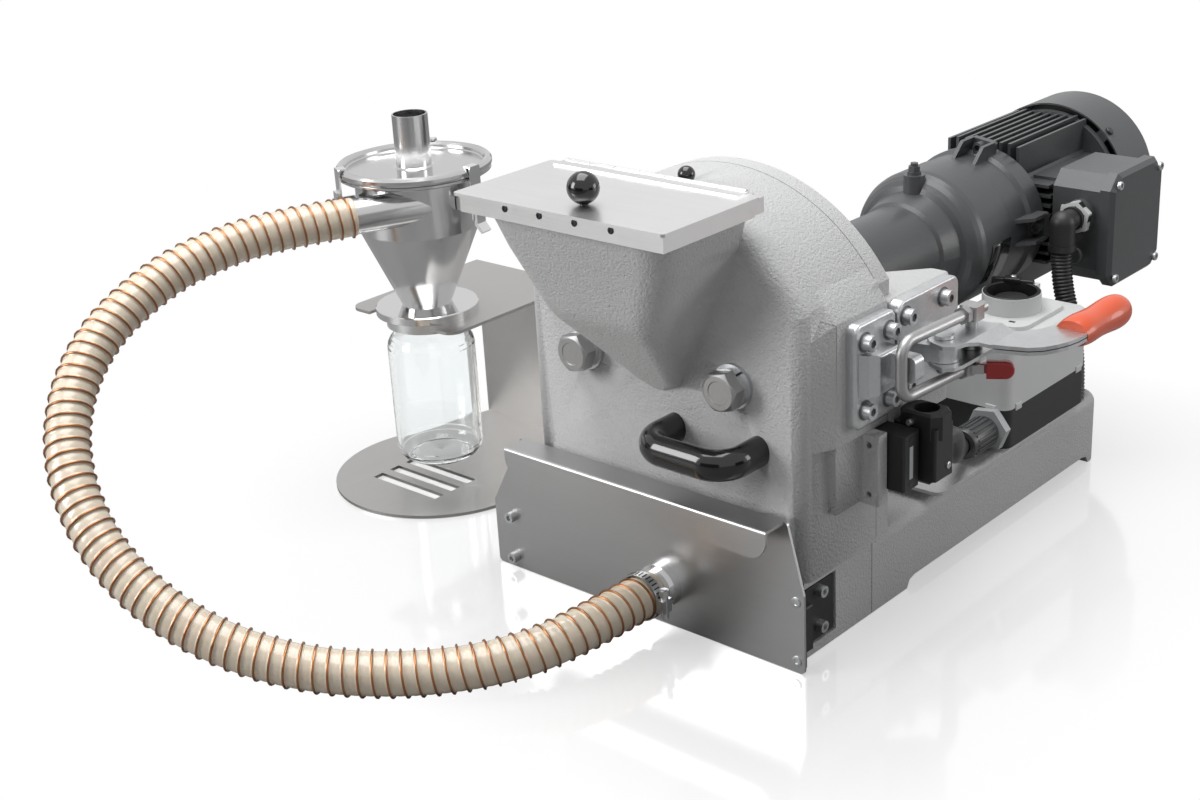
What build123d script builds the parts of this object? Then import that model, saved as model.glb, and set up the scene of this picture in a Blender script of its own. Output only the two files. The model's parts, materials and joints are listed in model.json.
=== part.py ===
from build123d import *
import math
import os

# Bench disc mill with a suction cyclone beside it.
# Millimetres. x = 0 on the drive axis, +X to the right seen from the front,
# y = 0 on the front sheet panel, +Y towards the motor, z = 0 on the bench.

# Clearances
SEAT = 0.3              # curved or soft faces on different bodies
RUN = 0.05              # radial play of a shaft, pin or sleeve
SLIP = 0.5              # room around a piece that is put in by hand

# Drive axis and machine frame
AXIS_Z = 225.0
SEAM_Y = 115.0          # door and front block meet the frame here
BASE_HALF = 139.0
BASE_LENGTH = 400.0
BASE_TOP = 69.0
BASE_WALL = 12.0
BASE_CORNER = 22.0
FOOT_RISE = 9.0
FRONT_FOOT = 54.0
REAR_FOOT = 24.0
ARCH_HALF = BASE_HALF + 4
ARCH_RADIUS = ARCH_HALF + 27
ARCH_CENTRE_Z = 199.6
FLANGE_DEPTH = 17.0
BEARING_RADIUS = 62.0
BEARING_LENGTH = 125.0
PEDESTAL_HALF = 46.0
PEDESTAL_START = 40.0   # behind the flange, leaves room for the gap ring
SLEEVE_RADIUS = 42.0
SLEEVE_LENGTH = 96.0

# Front block and its collecting chamber
BLOCK_LEFT = -173.0
BLOCK_FRONT_Y = 20.0
CHAMBER_LEFT = -112.0
CHAMBER_RIGHT = 96.0
CHAMBER_FLOOR = 7.0
CHAMBER_BACK_WALL = 14.0
SENSOR_RECESS = (43.0, 54.0, 8.0)     # along y, along z, depth
SENSOR_RECESS_Z = 9.0

# Front panel with its lip, and the suction tray behind it
PANEL_SHEET = 2.5
PANEL_LEFT = -187.0
PANEL_RIGHT = BASE_HALF + 14
PANEL_STRAIGHT = 70.0
PANEL_TOP = 130.0
PANEL_TOP_LEFT = -149.0
PANEL_TOP_RIGHT = BASE_HALF - 1.5
LIP_DEPTH = 23.2
LIP_DROP = 26.0
LIP_ROUND = 18.0
NOZZLE_X = 9.0
NOZZLE_Z = 37.0
HOSE_INNER = 34.0
HOSE_OUTER = 38.5
PIPE_WALL = 1.5
NOZZLE_REACH = 46.0
TRAY_SHEET = 1.5

# Door, hopper and feed bore
DOOR_FACE_Y = 16.0
DOOR_EDGE = 13.0
PAD_PROUD = 3.0
PAD_LEFT = -122.0
PAD_RIGHT = 132.5
DOOR_WALL = 24.0
GRIND_RADIUS = 122.0
CHUTE_HALF = 78.0
SIDE_PAD_X = ARCH_HALF + 9.5
SIDE_PAD_FRONT = 45.0
SIDE_PAD_BOTTOM = 178.3
SIDE_PAD_TOP = 286.0
HOPPER_TOP = 365.0
HOPPER_FRONT = 82.0     # ahead of y = 0
HOPPER_HALF = 92.0
HOPPER_THROAT_Z = HOPPER_TOP - 160
HOPPER_WALL = 6.0
HOPPER_STEPS = [        # height above the throat, half width, reach ahead of y = 0, corner radius
    (160, 92, 82, 24), (131, 84, 73, 24), (86, 62, 59.5, 22), (80, 59, 57, 20), (75, 56.5, 53.5, 19),
    (70, 54, 49.5, 18), (40, 39, 20.5, 14), (7, 22, -9.5, 9), (0, 8, -15, 4),
]
FEED_RADIUS = 20.0

# Hopper lid
LID_HALF = 105.7
LID_FRONT = 94.2
LID_TOP = 380.8
LID_SHEET = 2.5
RIM_SHEET = 2.0
RIM_DROP = 12.0
RIM_INSET = 3.7
HINGE_PIN_RADIUS = 1.3
HINGE_KNUCKLE_RADIUS = 2.6
HINGE_PITCH = 26.0
KNOB_RADIUS = 12.5
KNOB_X = 6.0
KNOB_Y = -66.0
STOP_RADIUS = 7.0
STOP_X = 12.0
STOP_Y = 46.0
STOP_Z = 378.0
STOP_SEAT_Z = 368.0
RIM_REAR = 26.5

# Grinding discs and shaft
DISC_RADIUS = 100.0
FIXED_DISC = 28.0
TURNING_DISC = 24.0
GRIND_GAP = 2.0
GAP_TRAVEL = 4.0
TEETH = 24
TOOTH_HEIGHT = 5.0
SHAFT_RADIUS = 25.0
CARRIER_RADIUS = 62.0
CARRIER_DEPTH = 9.0
SHAFT_LENGTH = 210.0
GAP_RING_DEPTH = 18.0
GAP_RING_WALL = 15.0

# Fasteners
BOLT_AF = 30.0          # large hexagon bolts that hold the fixed disc
BOLT_HEAD = 12.5
BOLT_RADIUS = 10.0
BOLT_SPAN = 154.0
WASHER_RADIUS = 18.5
WASHER_THICK = 3.0
SPRING_WASHER = 5.0
M8_HEAD_RADIUS = 6.5
M8_HEAD = 8.0
M8_RADIUS = 4.0
M6_HEAD_RADIUS = 5.0
M6_HEAD = 6.0
M6_RADIUS = 3.0

# Door handle
GRIP_DEEP = 10.5
GRIP_TALL = 13.0
GRIP_X = 58.0
GRIP_SPAN = 84.0
GRIP_Z = 175.0
GRIP_REACH = 44.0

# Toggle clamp at the door's right side
CATCH_Y = (58.0, 113.5)
CATCH_Z = (190.0, 277.0)
CATCH_THICK = 9.5
CLAMP_Y = (117.0, 205.0)
CLAMP_BASE_Z = (196.0, 279.0)
CLAMP_MID_Z = 240.0
PIVOT_X = SIDE_PAD_X + 37.5
PIVOT_Y = 138.0
TRUNNION_X = PIVOT_X + 4
TRUNNION_Y = PIVOT_Y + 34
HOOP_ROD = 4.7
HOOP_BAR_Y = 81.0
HOOP_BAR_X = PIVOT_X - 2
HOOP_SPREAD = 22.5
POST_GAP = 0.8
HANDLE_SHEET = 3.0
HANDLE_BEND = (20.0, 29.0)      # where the plates bend together, right of the pivot
HANDLE_PLAN = [                 # the plates seen from above, from the pivot round to the grip
    (-4, -14), (10, -19), (18, -14), (21, 2), (24, 12), (30, 22.5), (42, 26), (56, 31), (65, 39),
    (71, 49.5), (75, 60), (77.4, 72), (78, 88), (74, 92), (74, 150), (56, 150), (56, 100), (51, 94),
    (46, 82), (42, 73), (33, 61), (23, 54.5), (13, 50), (4, 48), (-9, 40), (-13, 12), (-12, -6),
]
GRIP_START = (64.0, 85.0)       # from the pivot
GRIP_END = (67.5, 165.0)

# Safety switch and control box
SWITCH_LUG_Y = (47.0, 95.0)
SWITCH_LUG_Z = (119.0, SIDE_PAD_BOTTOM + 1)
SWITCH_LUG_X = ARCH_HALF + 24
EAR_DEPTH = 13.0
SWITCH_CABLE = 7.0
BOX_RIGHT = BASE_HALF + 11
BOX_LEFT = BOX_RIGHT - 94
BOX_FRONT = 312.0
BOX_REAR = 457.0
BOX_BOTTOM = 80.0
BOX_SPLIT = 117.0
BOX_TOP = 175.0
BOX_WALL = 4.0
COLLAR_RADIUS = 27.0
COLLAR_WALL = 3.0
COLLAR_TOP = 196.0
COLLAR_X = BOX_RIGHT - 50
COLLAR_Y = 401.0
BUTTON_RADIUS = 17.0
BUTTON_TRAVEL = 4.0

# Gearmotor
NECK_RADIUS = 45.5
NECK_START = 240.0
NECK_END = 386.0
CASE_RADIUS = 70.5
CASE_END = 500.0
MOTOR_RADIUS = 58.0
FIN_REACH = 75.0
FIN_THICK = 3.0
FIN_STEP = 9.5
MOTOR_END = 660.0
COVER_RADIUS = 83.4
COVER_LENGTH = 76.0
COVER_START = MOTOR_END - 9
COVER_END = COVER_START + COVER_LENGTH
COVER_SHEET = 1.6
ROTOR_RADIUS = 11.0
FAN_RADIUS = 70.0
TERMINAL_X = 142.0
TERMINAL_Y = (510.0, 612.0)
TERMINAL_Z = (172.0, 283.0)
TERMINAL_LID = 14.0
TERMINAL_CHAMFER = 14.0

# Cyclone, jar and stand
CYCLONE_X = -372.0
CYCLONE_Y = 104.6
CYCLONE_RADIUS = 58.0
CYCLONE_TOP = 318.0
CYCLONE_BOTTOM = 262.0
CYCLONE_SHEET = 1.5
NECK_PIPE_RADIUS = 24.0
RIM_RADIUS = 74.0
RIM_RISE = 8.0
OUTLET_RADIUS = 17.0
OUTLET_TOP = 370.0
DIP_STEP = 0.5          # the pipe is this much narrower below the lid
INLET_Z = 292.0
INLET_TURN = 24.0       # inlet's direction, degrees from +Y towards +X
INLET_LENGTH = 100.0
FLANGE_TOP = 183.0
FLANGE_BOTTOM = 175.5
FLANGE_RADIUS = 50.3
JAR_RING_RADIUS = 41.0
JAR_RING_BOTTOM = 163.0
JAR_RADIUS = 43.0
JAR_BOTTOM = 22.0
JAR_SHOULDER = 140.0
JAR_NECK_RADIUS = 31.0
JAR_WALL = 3.0
STAND_SHEET = 3.0
STAND_HALF = 73.0
STAND_REAR_Y = 246.0
STAND_DISC_RADIUS = 108.0
STAND_TOP = FLANGE_BOTTOM
FORK_FRONT = 38.0       # fork tips ahead of the cyclone's axis
LATCH_ANGLES = (125.0, 245.0, 5.0)
LATCH_PIVOT_Z = CYCLONE_TOP - 26.0
FORK_SLOT = 43.6
HOSE_END = INLET_LENGTH - 24.0
HOSE_START_Y = -16.0
HOSE_MIDDLE = [
    (-16.0, -152.0, 26.0),
    (-80.0, -218.0, 20.0),
    (-155.0, -277.0, 31.0),
    (-232.0, -319.0, 65.0),
    (-308.0, -332.0, 117.0),
    (-374.0, -308.0, 179.0),
    (-416.0, -246.0, 235.0),
    (-423.0, -161.0, 273.0),
    (-409.0, -90.0, 288.0),
]

# Derived places
PIPE_RADIUS = HOSE_INNER / 2 - SEAT
PANEL_SCREW_X = -165.8
PANEL_SCREW_Z = (10.0, 50.2)
SENSOR_SCREW_Y = BLOCK_FRONT_Y + 21.0
SENSOR_SCREW_Z = (22.0, 54.0)
HINGE_Y = 20.5
HINGE_Z = LID_TOP - LID_SHEET + HINGE_KNUCKLE_RADIUS
HINGE_LEFT = -93.0
HINGE_X = ARCH_HALF + 20.0      # the door turns about a line at its left side
HINGE_BOLT = 5.0
HINGE_EARS_Z = (120.0, 250.0)
TOOTH_HALF = 2.2
SLEEVE_START = SEAM_Y + 1.0 + GAP_TRAVEL
CATCH_SCREW_Y = (70.5, 103.5)
CATCH_SCREW_Z = (205.5, 261.5)
CLAMP_SCREW_Y = (127.0, 181.0)
CLAMP_SCREW_Z = (208.0, 266.0)
PIVOT_PIN = 5.0
RELEASE_PIN = 2.0
PRONG_HIGH = CLAMP_MID_Z + 7.3
PRONG_LOW = CLAMP_MID_Z - 7.3 - HANDLE_SHEET
BRACKET_HOLE_X = ARCH_HALF + 15
BRACKET_HOLE_Z = (128.0, 170.5)
SWITCH_BACK_X = ARCH_HALF + 12
SWITCH_FACE_X = SWITCH_BACK_X + 40
SWITCH_KEY_X = ARCH_HALF + 39
SWITCH_Z = (133.0, 190.0)
GLAND_PLACE = (BOX_RIGHT - 17, 99.0)
STOP_HOLE = 12.0
BUTTON_STEM = 8.0
LUG_ANGLES = (8.0, 86.0)
LUG_REACH = CASE_RADIUS + 12.0
ELBOW_X = 108.0
ELBOW_Z = 242.0
CONDUIT_RADIUS = 10.0
ELBOW_REACH = 32.0      # from the terminal box's front to the elbow's drop


def block(x0, x1, y0, y1, z0, z1):
    """A box between two corners."""
    size = Box(x1 - x0, y1 - y0, z1 - z0)
    return Pos((x0 + x1) / 2, (y0 + y1) / 2, (z0 + z1) / 2) * size


def rod_x(radius, y, z, x0, x1):
    """A cylinder along X."""
    return Pos((x0 + x1) / 2, y, z) * Rot(0, 90, 0) * Cylinder(radius, x1 - x0)


def rod_y(radius, x, z, y0, y1):
    """A cylinder along Y."""
    return Pos(x, (y0 + y1) / 2, z) * Rot(90, 0, 0) * Cylinder(radius, y1 - y0)


def rod_z(radius, x, y, z0, z1):
    """A cylinder along Z."""
    return Pos(x, y, (z0 + z1) / 2) * Cylinder(radius, z1 - z0)


def ring_y(outer, inner, x, z, y0, y1):
    """A ring or tube along Y."""
    return rod_y(outer, x, z, y0, y1) - rod_y(inner, x, z, y0, y1)


def ring_z(outer, inner, x, y, z0, z1):
    """A ring or tube along Z."""
    return rod_z(outer, x, y, z0, z1) - rod_z(inner, x, y, z0, z1)


def prism_y(points, y0, y1):
    """Extrudes an outline of (x, z) points from y0 to y1."""
    outline = Polyline(*[(x, y0, z) for x, z in points], close=True)
    return extrude(make_face(outline), amount=y1 - y0, dir=(0, 1, 0))


def prism_x(points, x0, x1):
    """Extrudes an outline of (y, z) points from x0 to x1."""
    outline = Polyline(*[(x0, y, z) for y, z in points], close=True)
    return extrude(make_face(outline), amount=x1 - x0, dir=(1, 0, 0))


def prism_z(points, z0, z1):
    """Extrudes an outline of (x, y) points from z0 to z1."""
    outline = Polyline(*[(x, y, z0) for x, y in points], close=True)
    return extrude(make_face(outline), amount=z1 - z0, dir=(0, 0, 1))


def hexagon_y(across_flats, x, z, y0, y1, turn=0.0):
    """A hexagonal bar along Y."""
    corner = across_flats / math.sqrt(3)
    angles = [math.radians(turn + 60 * step) for step in range(6)]
    return prism_y([(x + corner * math.cos(a), z + corner * math.sin(a)) for a in angles], y0, y1)


def turned_y(points, x, z):
    """Turns an outline of (radius, y) points about an axis along Y."""
    outline = Polyline(*[(x + r, y, z) for r, y in points], close=True)
    return revolve(make_face(outline), Axis((x, 0, z), (0, 1, 0)), 360)


def turned_z(points, x, y):
    """Turns an outline of (radius, z) points about an axis along Z."""
    outline = Polyline(*[(x + r, y, z) for r, z in points], close=True)
    return revolve(make_face(outline), Axis((x, y, 0), (0, 0, 1)), 360)


def arch(half, radius, foot_z, y0, y1):
    """A slab with upright sides and a round top, between two planes across Y."""
    shoulder = ARCH_CENTRE_Z + math.sqrt(radius ** 2 - half ** 2)
    outline = [
        Line((-half, y0, foot_z), (half, y0, foot_z)),
        Line((half, y0, foot_z), (half, y0, shoulder)),
        ThreePointArc((half, y0, shoulder), (0, y0, ARCH_CENTRE_Z + radius), (-half, y0, shoulder)),
        Line((-half, y0, shoulder), (-half, y0, foot_z)),
    ]
    return extrude(make_face(outline), amount=y1 - y0, dir=(0, 1, 0))


def socket_screw(radius, head_radius, head, length):
    """A cap screw along +Z, its head's underside at the origin and its shank below."""
    body = rod_z(head_radius, 0, 0, 0, head) + rod_z(radius, 0, 0, -length, 0)
    return body - extrude(RegularPolygon(head_radius * 0.55, 6), amount=head, dir=(0, 0, 1)).moved(
        Location((0, 0, head * 0.45)))


def rounded_block(x0, x1, y0, y1, z0, z1, radius, axis):
    """A box whose four edges along one axis are rounded."""
    shape = block(x0, x1, y0, y1, z0, z1)
    return fillet(shape.edges().filter_by(axis), radius)


def along(points, radii):
    """A centre line of straight runs joined by tangent arcs."""
    return FilletPolyline(*points, radius=radii)


def bar_along(line, radius):
    """A round bar that follows a line."""
    section = Plane(origin=line @ 0, z_dir=line % 0) * Circle(radius)
    return sweep(section, path=line)


def tube_along(line, outer, inner):
    """A tube that follows a line."""
    plane = Plane(origin=line @ 0, z_dir=line % 0)
    section = plane * (Circle(outer) - Circle(inner))
    return sweep(section, path=line)


def placed_y(shape, x, y, z):
    """Turns a shape built along +Z so that it points to -Y, and places it."""
    return Pos(x, y, z) * Rot(90, 0, 0) * shape


def placed_x(shape, x, y, z):
    """Turns a shape built along +Z so that it points to +X, and places it."""
    return Pos(x, y, z) * Rot(0, 90, 0) * shape


# Machine frame

def frame_base():
    rear = SEAM_Y + BASE_LENGTH
    body = block(-BASE_HALF, BASE_HALF, SEAM_Y, rear, 0, BASE_TOP)
    corners = body.edges().filter_by(Axis.Z).group_by(Axis.Y)[-1]
    body = fillet(corners, BASE_CORNER)
    body = fillet(body.faces().sort_by(Axis.Z)[-1].edges().sort_by(Axis.Y)[1:], 9)
    inner = block(-BASE_HALF + BASE_WALL, BASE_HALF - BASE_WALL, SEAM_Y + BASE_WALL,
                  rear - BASE_WALL, 0, BASE_TOP - BASE_WALL)
    rise = prism_x([(SEAM_Y + FRONT_FOOT, 0), (SEAM_Y + FRONT_FOOT + 4, FOOT_RISE - 2),
                    (SEAM_Y + FRONT_FOOT + 12, FOOT_RISE), (rear - REAR_FOOT - 12, FOOT_RISE),
                    (rear - REAR_FOOT - 4, FOOT_RISE - 2), (rear - REAR_FOOT, 0)],
                   -BASE_HALF, BASE_HALF)
    return body - inner - rise


def bearing_housing():
    start = SEAM_Y + FLANGE_DEPTH
    hub = rod_y(BEARING_RADIUS, 0, AXIS_Z, SEAM_Y + 1, SEAM_Y + BEARING_LENGTH)
    hub = chamfer(hub.edges().group_by(Axis.Y)[-1], 3)
    pedestal = block(-PEDESTAL_HALF, PEDESTAL_HALF, start + PEDESTAL_START,
                     SEAM_Y + BEARING_LENGTH - 4, BASE_TOP - 2, AXIS_Z - BEARING_RADIUS / 2)
    return hub + pedestal


def clamp_arm():
    rear = CLAMP_Y[1] + 2
    inner = BEARING_RADIUS + GAP_RING_WALL + 8
    arm = prism_z([(inner, SEAM_Y + 3), (SIDE_PAD_X, SEAM_Y + 3), (SIDE_PAD_X, rear),
                   (SIDE_PAD_X - 17, rear), (inner, SEAM_Y + 38)], 168, CLAMP_BASE_Z[1])
    arm = fillet(arm.edges().filter_by(Axis.Z).group_by(Axis.Y)[-1], 4)
    return fillet(arm.faces().sort_by(Axis.Z)[-1].edges(), 3)


def make_machine_frame():
    flange = arch(ARCH_HALF, ARCH_RADIUS, BASE_TOP - 1, SEAM_Y, SEAM_Y + FLANGE_DEPTH)
    switch_pad = block(ARCH_HALF - 1, SWITCH_BACK_X, SEAM_Y + 6, SEAM_Y + FLANGE_DEPTH,
                       SWITCH_Z[0] + 3, SWITCH_Z[1] - 14)
    body = frame_base() + flange + bearing_housing() + clamp_arm() + switch_pad
    bore_end = SEAM_Y + BEARING_LENGTH
    body -= rod_y(SLEEVE_RADIUS + RUN, 0, AXIS_Z, SEAM_Y - 1, bore_end + 1)
    for y, z in clamp_screw_places():
        body -= rod_x(M8_RADIUS, y, z, SIDE_PAD_X - 16, SIDE_PAD_X + 1)
    return body


# Front block, panel, tray and hose nozzle

def make_front_block():
    body = block(BLOCK_LEFT, BASE_HALF, BLOCK_FRONT_Y, SEAM_Y, 0, BASE_TOP)
    body = fillet(body.edges().filter_by(Axis.Z).group_by(Axis.X)[0], 6)
    chamber = block(CHAMBER_LEFT, CHAMBER_RIGHT, BLOCK_FRONT_Y, SEAM_Y - CHAMBER_BACK_WALL,
                    CHAMBER_FLOOR, BASE_TOP)
    length, height, depth = SENSOR_RECESS
    recess = block(BASE_HALF - depth, BASE_HALF, BLOCK_FRONT_Y, BLOCK_FRONT_Y + length,
                   SENSOR_RECESS_Z, SENSOR_RECESS_Z + height)
    body = body - chamber - recess
    for z in PANEL_SCREW_Z:
        body += rod_y(6.5, PANEL_SCREW_X, z, PANEL_SHEET, BLOCK_FRONT_Y + 1)
        body -= rod_y(M6_RADIUS, PANEL_SCREW_X, z, PANEL_SHEET, PANEL_SHEET + 14)
    for z in SENSOR_SCREW_Z:
        body -= rod_x(M6_RADIUS, SENSOR_SCREW_Y, z, BASE_HALF - depth - 8, BASE_HALF)
    return body


def panel_sheet():
    points = [
        (PANEL_LEFT, 0), (PANEL_RIGHT, 0), (PANEL_RIGHT, PANEL_STRAIGHT),
        (PANEL_TOP_RIGHT, PANEL_TOP), (PANEL_TOP_LEFT, PANEL_TOP), (PANEL_LEFT, PANEL_STRAIGHT - 8),
    ]
    sheet = prism_y(points, 0, PANEL_SHEET)
    corners = sheet.edges().filter_by(Axis.Y)
    return fillet(corners.group_by(Axis.Z)[0] + corners.group_by(Axis.Z)[-1], 4)


def panel_lip():
    shelf = block(PANEL_TOP_LEFT + 3, PANEL_TOP_RIGHT - 3, -LIP_DEPTH, PANEL_SHEET,
                  PANEL_TOP - PANEL_SHEET, PANEL_TOP)
    drop = block(PANEL_TOP_LEFT + 3, PANEL_TOP_RIGHT - 3, -LIP_DEPTH, -LIP_DEPTH + PANEL_SHEET,
                 PANEL_TOP - LIP_DROP, PANEL_TOP)
    drop = fillet(drop.edges().filter_by(Axis.Y).group_by(Axis.Z)[0], LIP_ROUND)
    lip = shelf + drop
    front = lip.edges().filter_by(Axis.X).group_by(Axis.Z)[-1].sort_by(Axis.Y)[0]
    return fillet(front, PANEL_SHEET)


def make_front_panel():
    body = panel_sheet() + panel_lip()
    body -= rod_y(PIPE_RADIUS + SEAT, NOZZLE_X, NOZZLE_Z, -1, PANEL_SHEET + 1)
    for z in PANEL_SCREW_Z:
        body -= rod_y(M6_RADIUS + SEAT, PANEL_SCREW_X, z, -1, PANEL_SHEET + 1)
    return body


def make_suction_tray():
    x0 = CHAMBER_LEFT + SLIP
    x1 = CHAMBER_RIGHT - SLIP
    y1 = SEAM_Y - CHAMBER_BACK_WALL - SLIP
    z0 = CHAMBER_FLOOR + SLIP
    z1 = BASE_TOP - SLIP
    body = block(x0, x1, PANEL_SHEET, y1, z0, z1)
    inner = block(x0 + TRAY_SHEET, x1 - TRAY_SHEET, PANEL_SHEET, y1 - TRAY_SHEET,
                  z0 + TRAY_SHEET, z1)
    roof = block(x0, x1, PANEL_SHEET, BLOCK_FRONT_Y - SLIP, z1 - TRAY_SHEET, z1)
    return body - inner + roof


def make_hose_nozzle():
    pipe = ring_y(PIPE_RADIUS, PIPE_RADIUS - PIPE_WALL, NOZZLE_X, NOZZLE_Z,
                  -NOZZLE_REACH, PANEL_SHEET + 1)
    flange = ring_y(PIPE_RADIUS + 8, PIPE_RADIUS - PIPE_WALL, NOZZLE_X, NOZZLE_Z,
                    PANEL_SHEET, PANEL_SHEET + 2)
    collar = ring_y(PIPE_RADIUS + 3, PIPE_RADIUS - PIPE_WALL, NOZZLE_X, NOZZLE_Z, -8, 0)
    return pipe + flange + collar


def make_hose_clamp():
    y0 = HOSE_START_Y - 16
    band = ring_y(HOSE_OUTER / 2 + 1.3, HOSE_OUTER / 2 + SEAT, NOZZLE_X, NOZZLE_Z, y0, y0 + 9)
    housing = block(NOZZLE_X + HOSE_OUTER / 2 + 0.8, NOZZLE_X + HOSE_OUTER / 2 + 8,
                    y0 - 1, y0 + 10, NOZZLE_Z - 7, NOZZLE_Z + 5)
    screw = rod_z(3.4, NOZZLE_X + HOSE_OUTER / 2 + 5, y0 + 4.5, NOZZLE_Z - 12, NOZZLE_Z + 9)
    return band + housing + screw


def make_interlock_actuator():
    box = rounded_block(BASE_HALF - 8, BASE_HALF + 11, 5, 16, 15, 56, 2, Axis.Y)
    angle = block(BASE_HALF - 10, BASE_HALF + 12.5, PANEL_SHEET, 5.5, 4, BASE_TOP)
    return box + angle


def make_interlock_sensor():
    length, height, depth = SENSOR_RECESS
    x0 = BASE_HALF - depth
    body = rounded_block(x0, BASE_HALF - 1, BLOCK_FRONT_Y + 2, BLOCK_FRONT_Y + length - 2,
                         SENSOR_RECESS_Z + 2, SENSOR_RECESS_Z + height - 2, 2, Axis.X)
    for z in SENSOR_SCREW_Z:
        body -= rod_x(M6_RADIUS + SEAT, SENSOR_SCREW_Y, z, x0 - 1, BASE_HALF)
    return body


def make_cap_screws_m6():
    screw = socket_screw(M6_RADIUS - 0.1, M6_HEAD_RADIUS, M6_HEAD, 12)
    screws = [placed_y(screw, PANEL_SCREW_X, 0, z) for z in PANEL_SCREW_Z]
    screws += [placed_x(screw, BASE_HALF - 1, SENSOR_SCREW_Y, z) for z in SENSOR_SCREW_Z]
    return Compound(screws)


# Door, hopper and lid

def hopper_form(inset, drop):
    """The hopper as a stack of rounded rectangles, from its top edge to its throat."""
    rear = DOOR_FACE_Y + HOPPER_STEPS[0][3] + 6
    sections = []
    for height, half, front, radius in HOPPER_STEPS:
        plane = Plane.XY.offset(HOPPER_THROAT_Z + height + drop)
        depth = rear + front - inset
        middle = rear - depth / 2
        width = 2 * (half - inset)
        sections.append(plane * Pos(0, middle) * RectangleRounded(width, depth, radius - inset / 2))
    return loft(sections, ruled=True)


def hopper_outer():
    body = hopper_form(0, 0)
    return body & block(-HOPPER_HALF - 5, HOPPER_HALF + 5, -HOPPER_FRONT - 5, DOOR_FACE_Y + 2,
                        HOPPER_THROAT_Z, HOPPER_TOP)


def hopper_inner():
    body = hopper_form(HOPPER_WALL, 2)
    return body & block(-HOPPER_HALF, HOPPER_HALF, -HOPPER_FRONT, DOOR_FACE_Y,
                        HOPPER_THROAT_Z, HOPPER_TOP + 1)


def door_side_pad():
    slant = SIDE_PAD_X - ARCH_HALF
    top = [
        (ARCH_HALF - 6, SIDE_PAD_FRONT - 18), (ARCH_HALF, SIDE_PAD_FRONT - 18),
        (SIDE_PAD_X, SIDE_PAD_FRONT + slant), (SIDE_PAD_X, SEAM_Y), (ARCH_HALF - 6, SEAM_Y),
    ]
    pad = prism_z(top, SIDE_PAD_BOTTOM, SIDE_PAD_TOP + 22)
    cut = prism_x([(0, SIDE_PAD_TOP + 30), (0, SIDE_PAD_TOP - 26), (SEAM_Y + 1, SIDE_PAD_TOP + 10),
                   (SEAM_Y + 1, SIDE_PAD_TOP + 30)], ARCH_HALF - 8, SIDE_PAD_X + 1)
    return pad - cut


def door_slab():
    slab = arch(ARCH_HALF, ARCH_RADIUS, BASE_TOP, DOOR_FACE_Y, SEAM_Y)
    front = slab.faces().sort_by(Axis.Y)[0].edges().sort_by(Axis.Z)[1:]
    return fillet(front, DOOR_EDGE)


def make_door():
    pad = block(PAD_LEFT, PAD_RIGHT, DOOR_FACE_Y - PAD_PROUD, DOOR_FACE_Y + 4, BASE_TOP, PANEL_TOP)
    pad = fillet(pad.edges().filter_by(Axis.Y).group_by(Axis.Z)[-1], 5)
    body = door_slab() + pad + hopper_outer() + door_side_pad() + switch_ear()
    inner_y = DOOR_FACE_Y + DOOR_WALL
    chamber = rod_y(GRIND_RADIUS, 0, AXIS_Z, inner_y, SEAM_Y)
    chute = block(-CHUTE_HALF, CHUTE_HALF, inner_y + 12, SEAM_Y, BASE_TOP, AXIS_Z - 60)
    body = body - chamber - chute - hopper_inner()
    body -= rod_y(FEED_RADIUS, 0, AXIS_Z, DOOR_FACE_Y - 1, inner_y + 1)
    for x in (-BOLT_SPAN / 2, BOLT_SPAN / 2):
        body -= rod_y(BOLT_RADIUS + SLIP, x, AXIS_Z, DOOR_FACE_Y - 4, inner_y + 1)
        body -= rod_y(WASHER_RADIUS + 1, x, AXIS_Z, DOOR_FACE_Y - 40, DOOR_FACE_Y)
    body -= rod_z(6, STOP_X, STOP_Y, STOP_SEAT_Z, STOP_SEAT_Z + 10)
    body += hinge_ears()
    for y, z in catch_screw_places():
        body -= rod_x(M8_RADIUS, y, z, SIDE_PAD_X - 16, SIDE_PAD_X + 1)
    return body


def hinge_ears():
    ears = []
    for z in HINGE_EARS_Z:
        arm = block(-HINGE_X, -ARCH_HALF + 4, SEAM_Y - 16, SEAM_Y - 1, z - 14, z + 14)
        eye = rod_z(9, -HINGE_X, SEAM_Y - 9, z - 14, z + 14)
        ears.append(arm + eye - rod_z(HINGE_BOLT + RUN, -HINGE_X, SEAM_Y - 9, z - 20, z + 20))
    return ears


def make_door_hinge():
    parts = []
    for z in HINGE_EARS_Z:
        lower = z - 14.3 - 12
        arm = block(-HINGE_X, -ARCH_HALF - SEAT, SEAM_Y - 3, SEAM_Y + 13, lower, z - 14.3)
        eye = rod_z(9, -HINGE_X, SEAM_Y - 9, lower, z - 14.3)
        link = block(-HINGE_X - 9, -HINGE_X + 9, SEAM_Y - 9, SEAM_Y + 13, lower, z - 14.3)
        plate = block(-ARCH_HALF - 8, -ARCH_HALF - SEAT, SEAM_Y + 1, SEAM_Y + 15, lower, z + 14)
        pin = rod_z(HINGE_BOLT, -HINGE_X, SEAM_Y - 9, z - 15, z + 16)
        cap = rod_z(8, -HINGE_X, SEAM_Y - 9, z + 14.3, z + 19)
        parts.append(arm + eye + link + plate + pin + cap)
    return Compound(parts)


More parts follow.
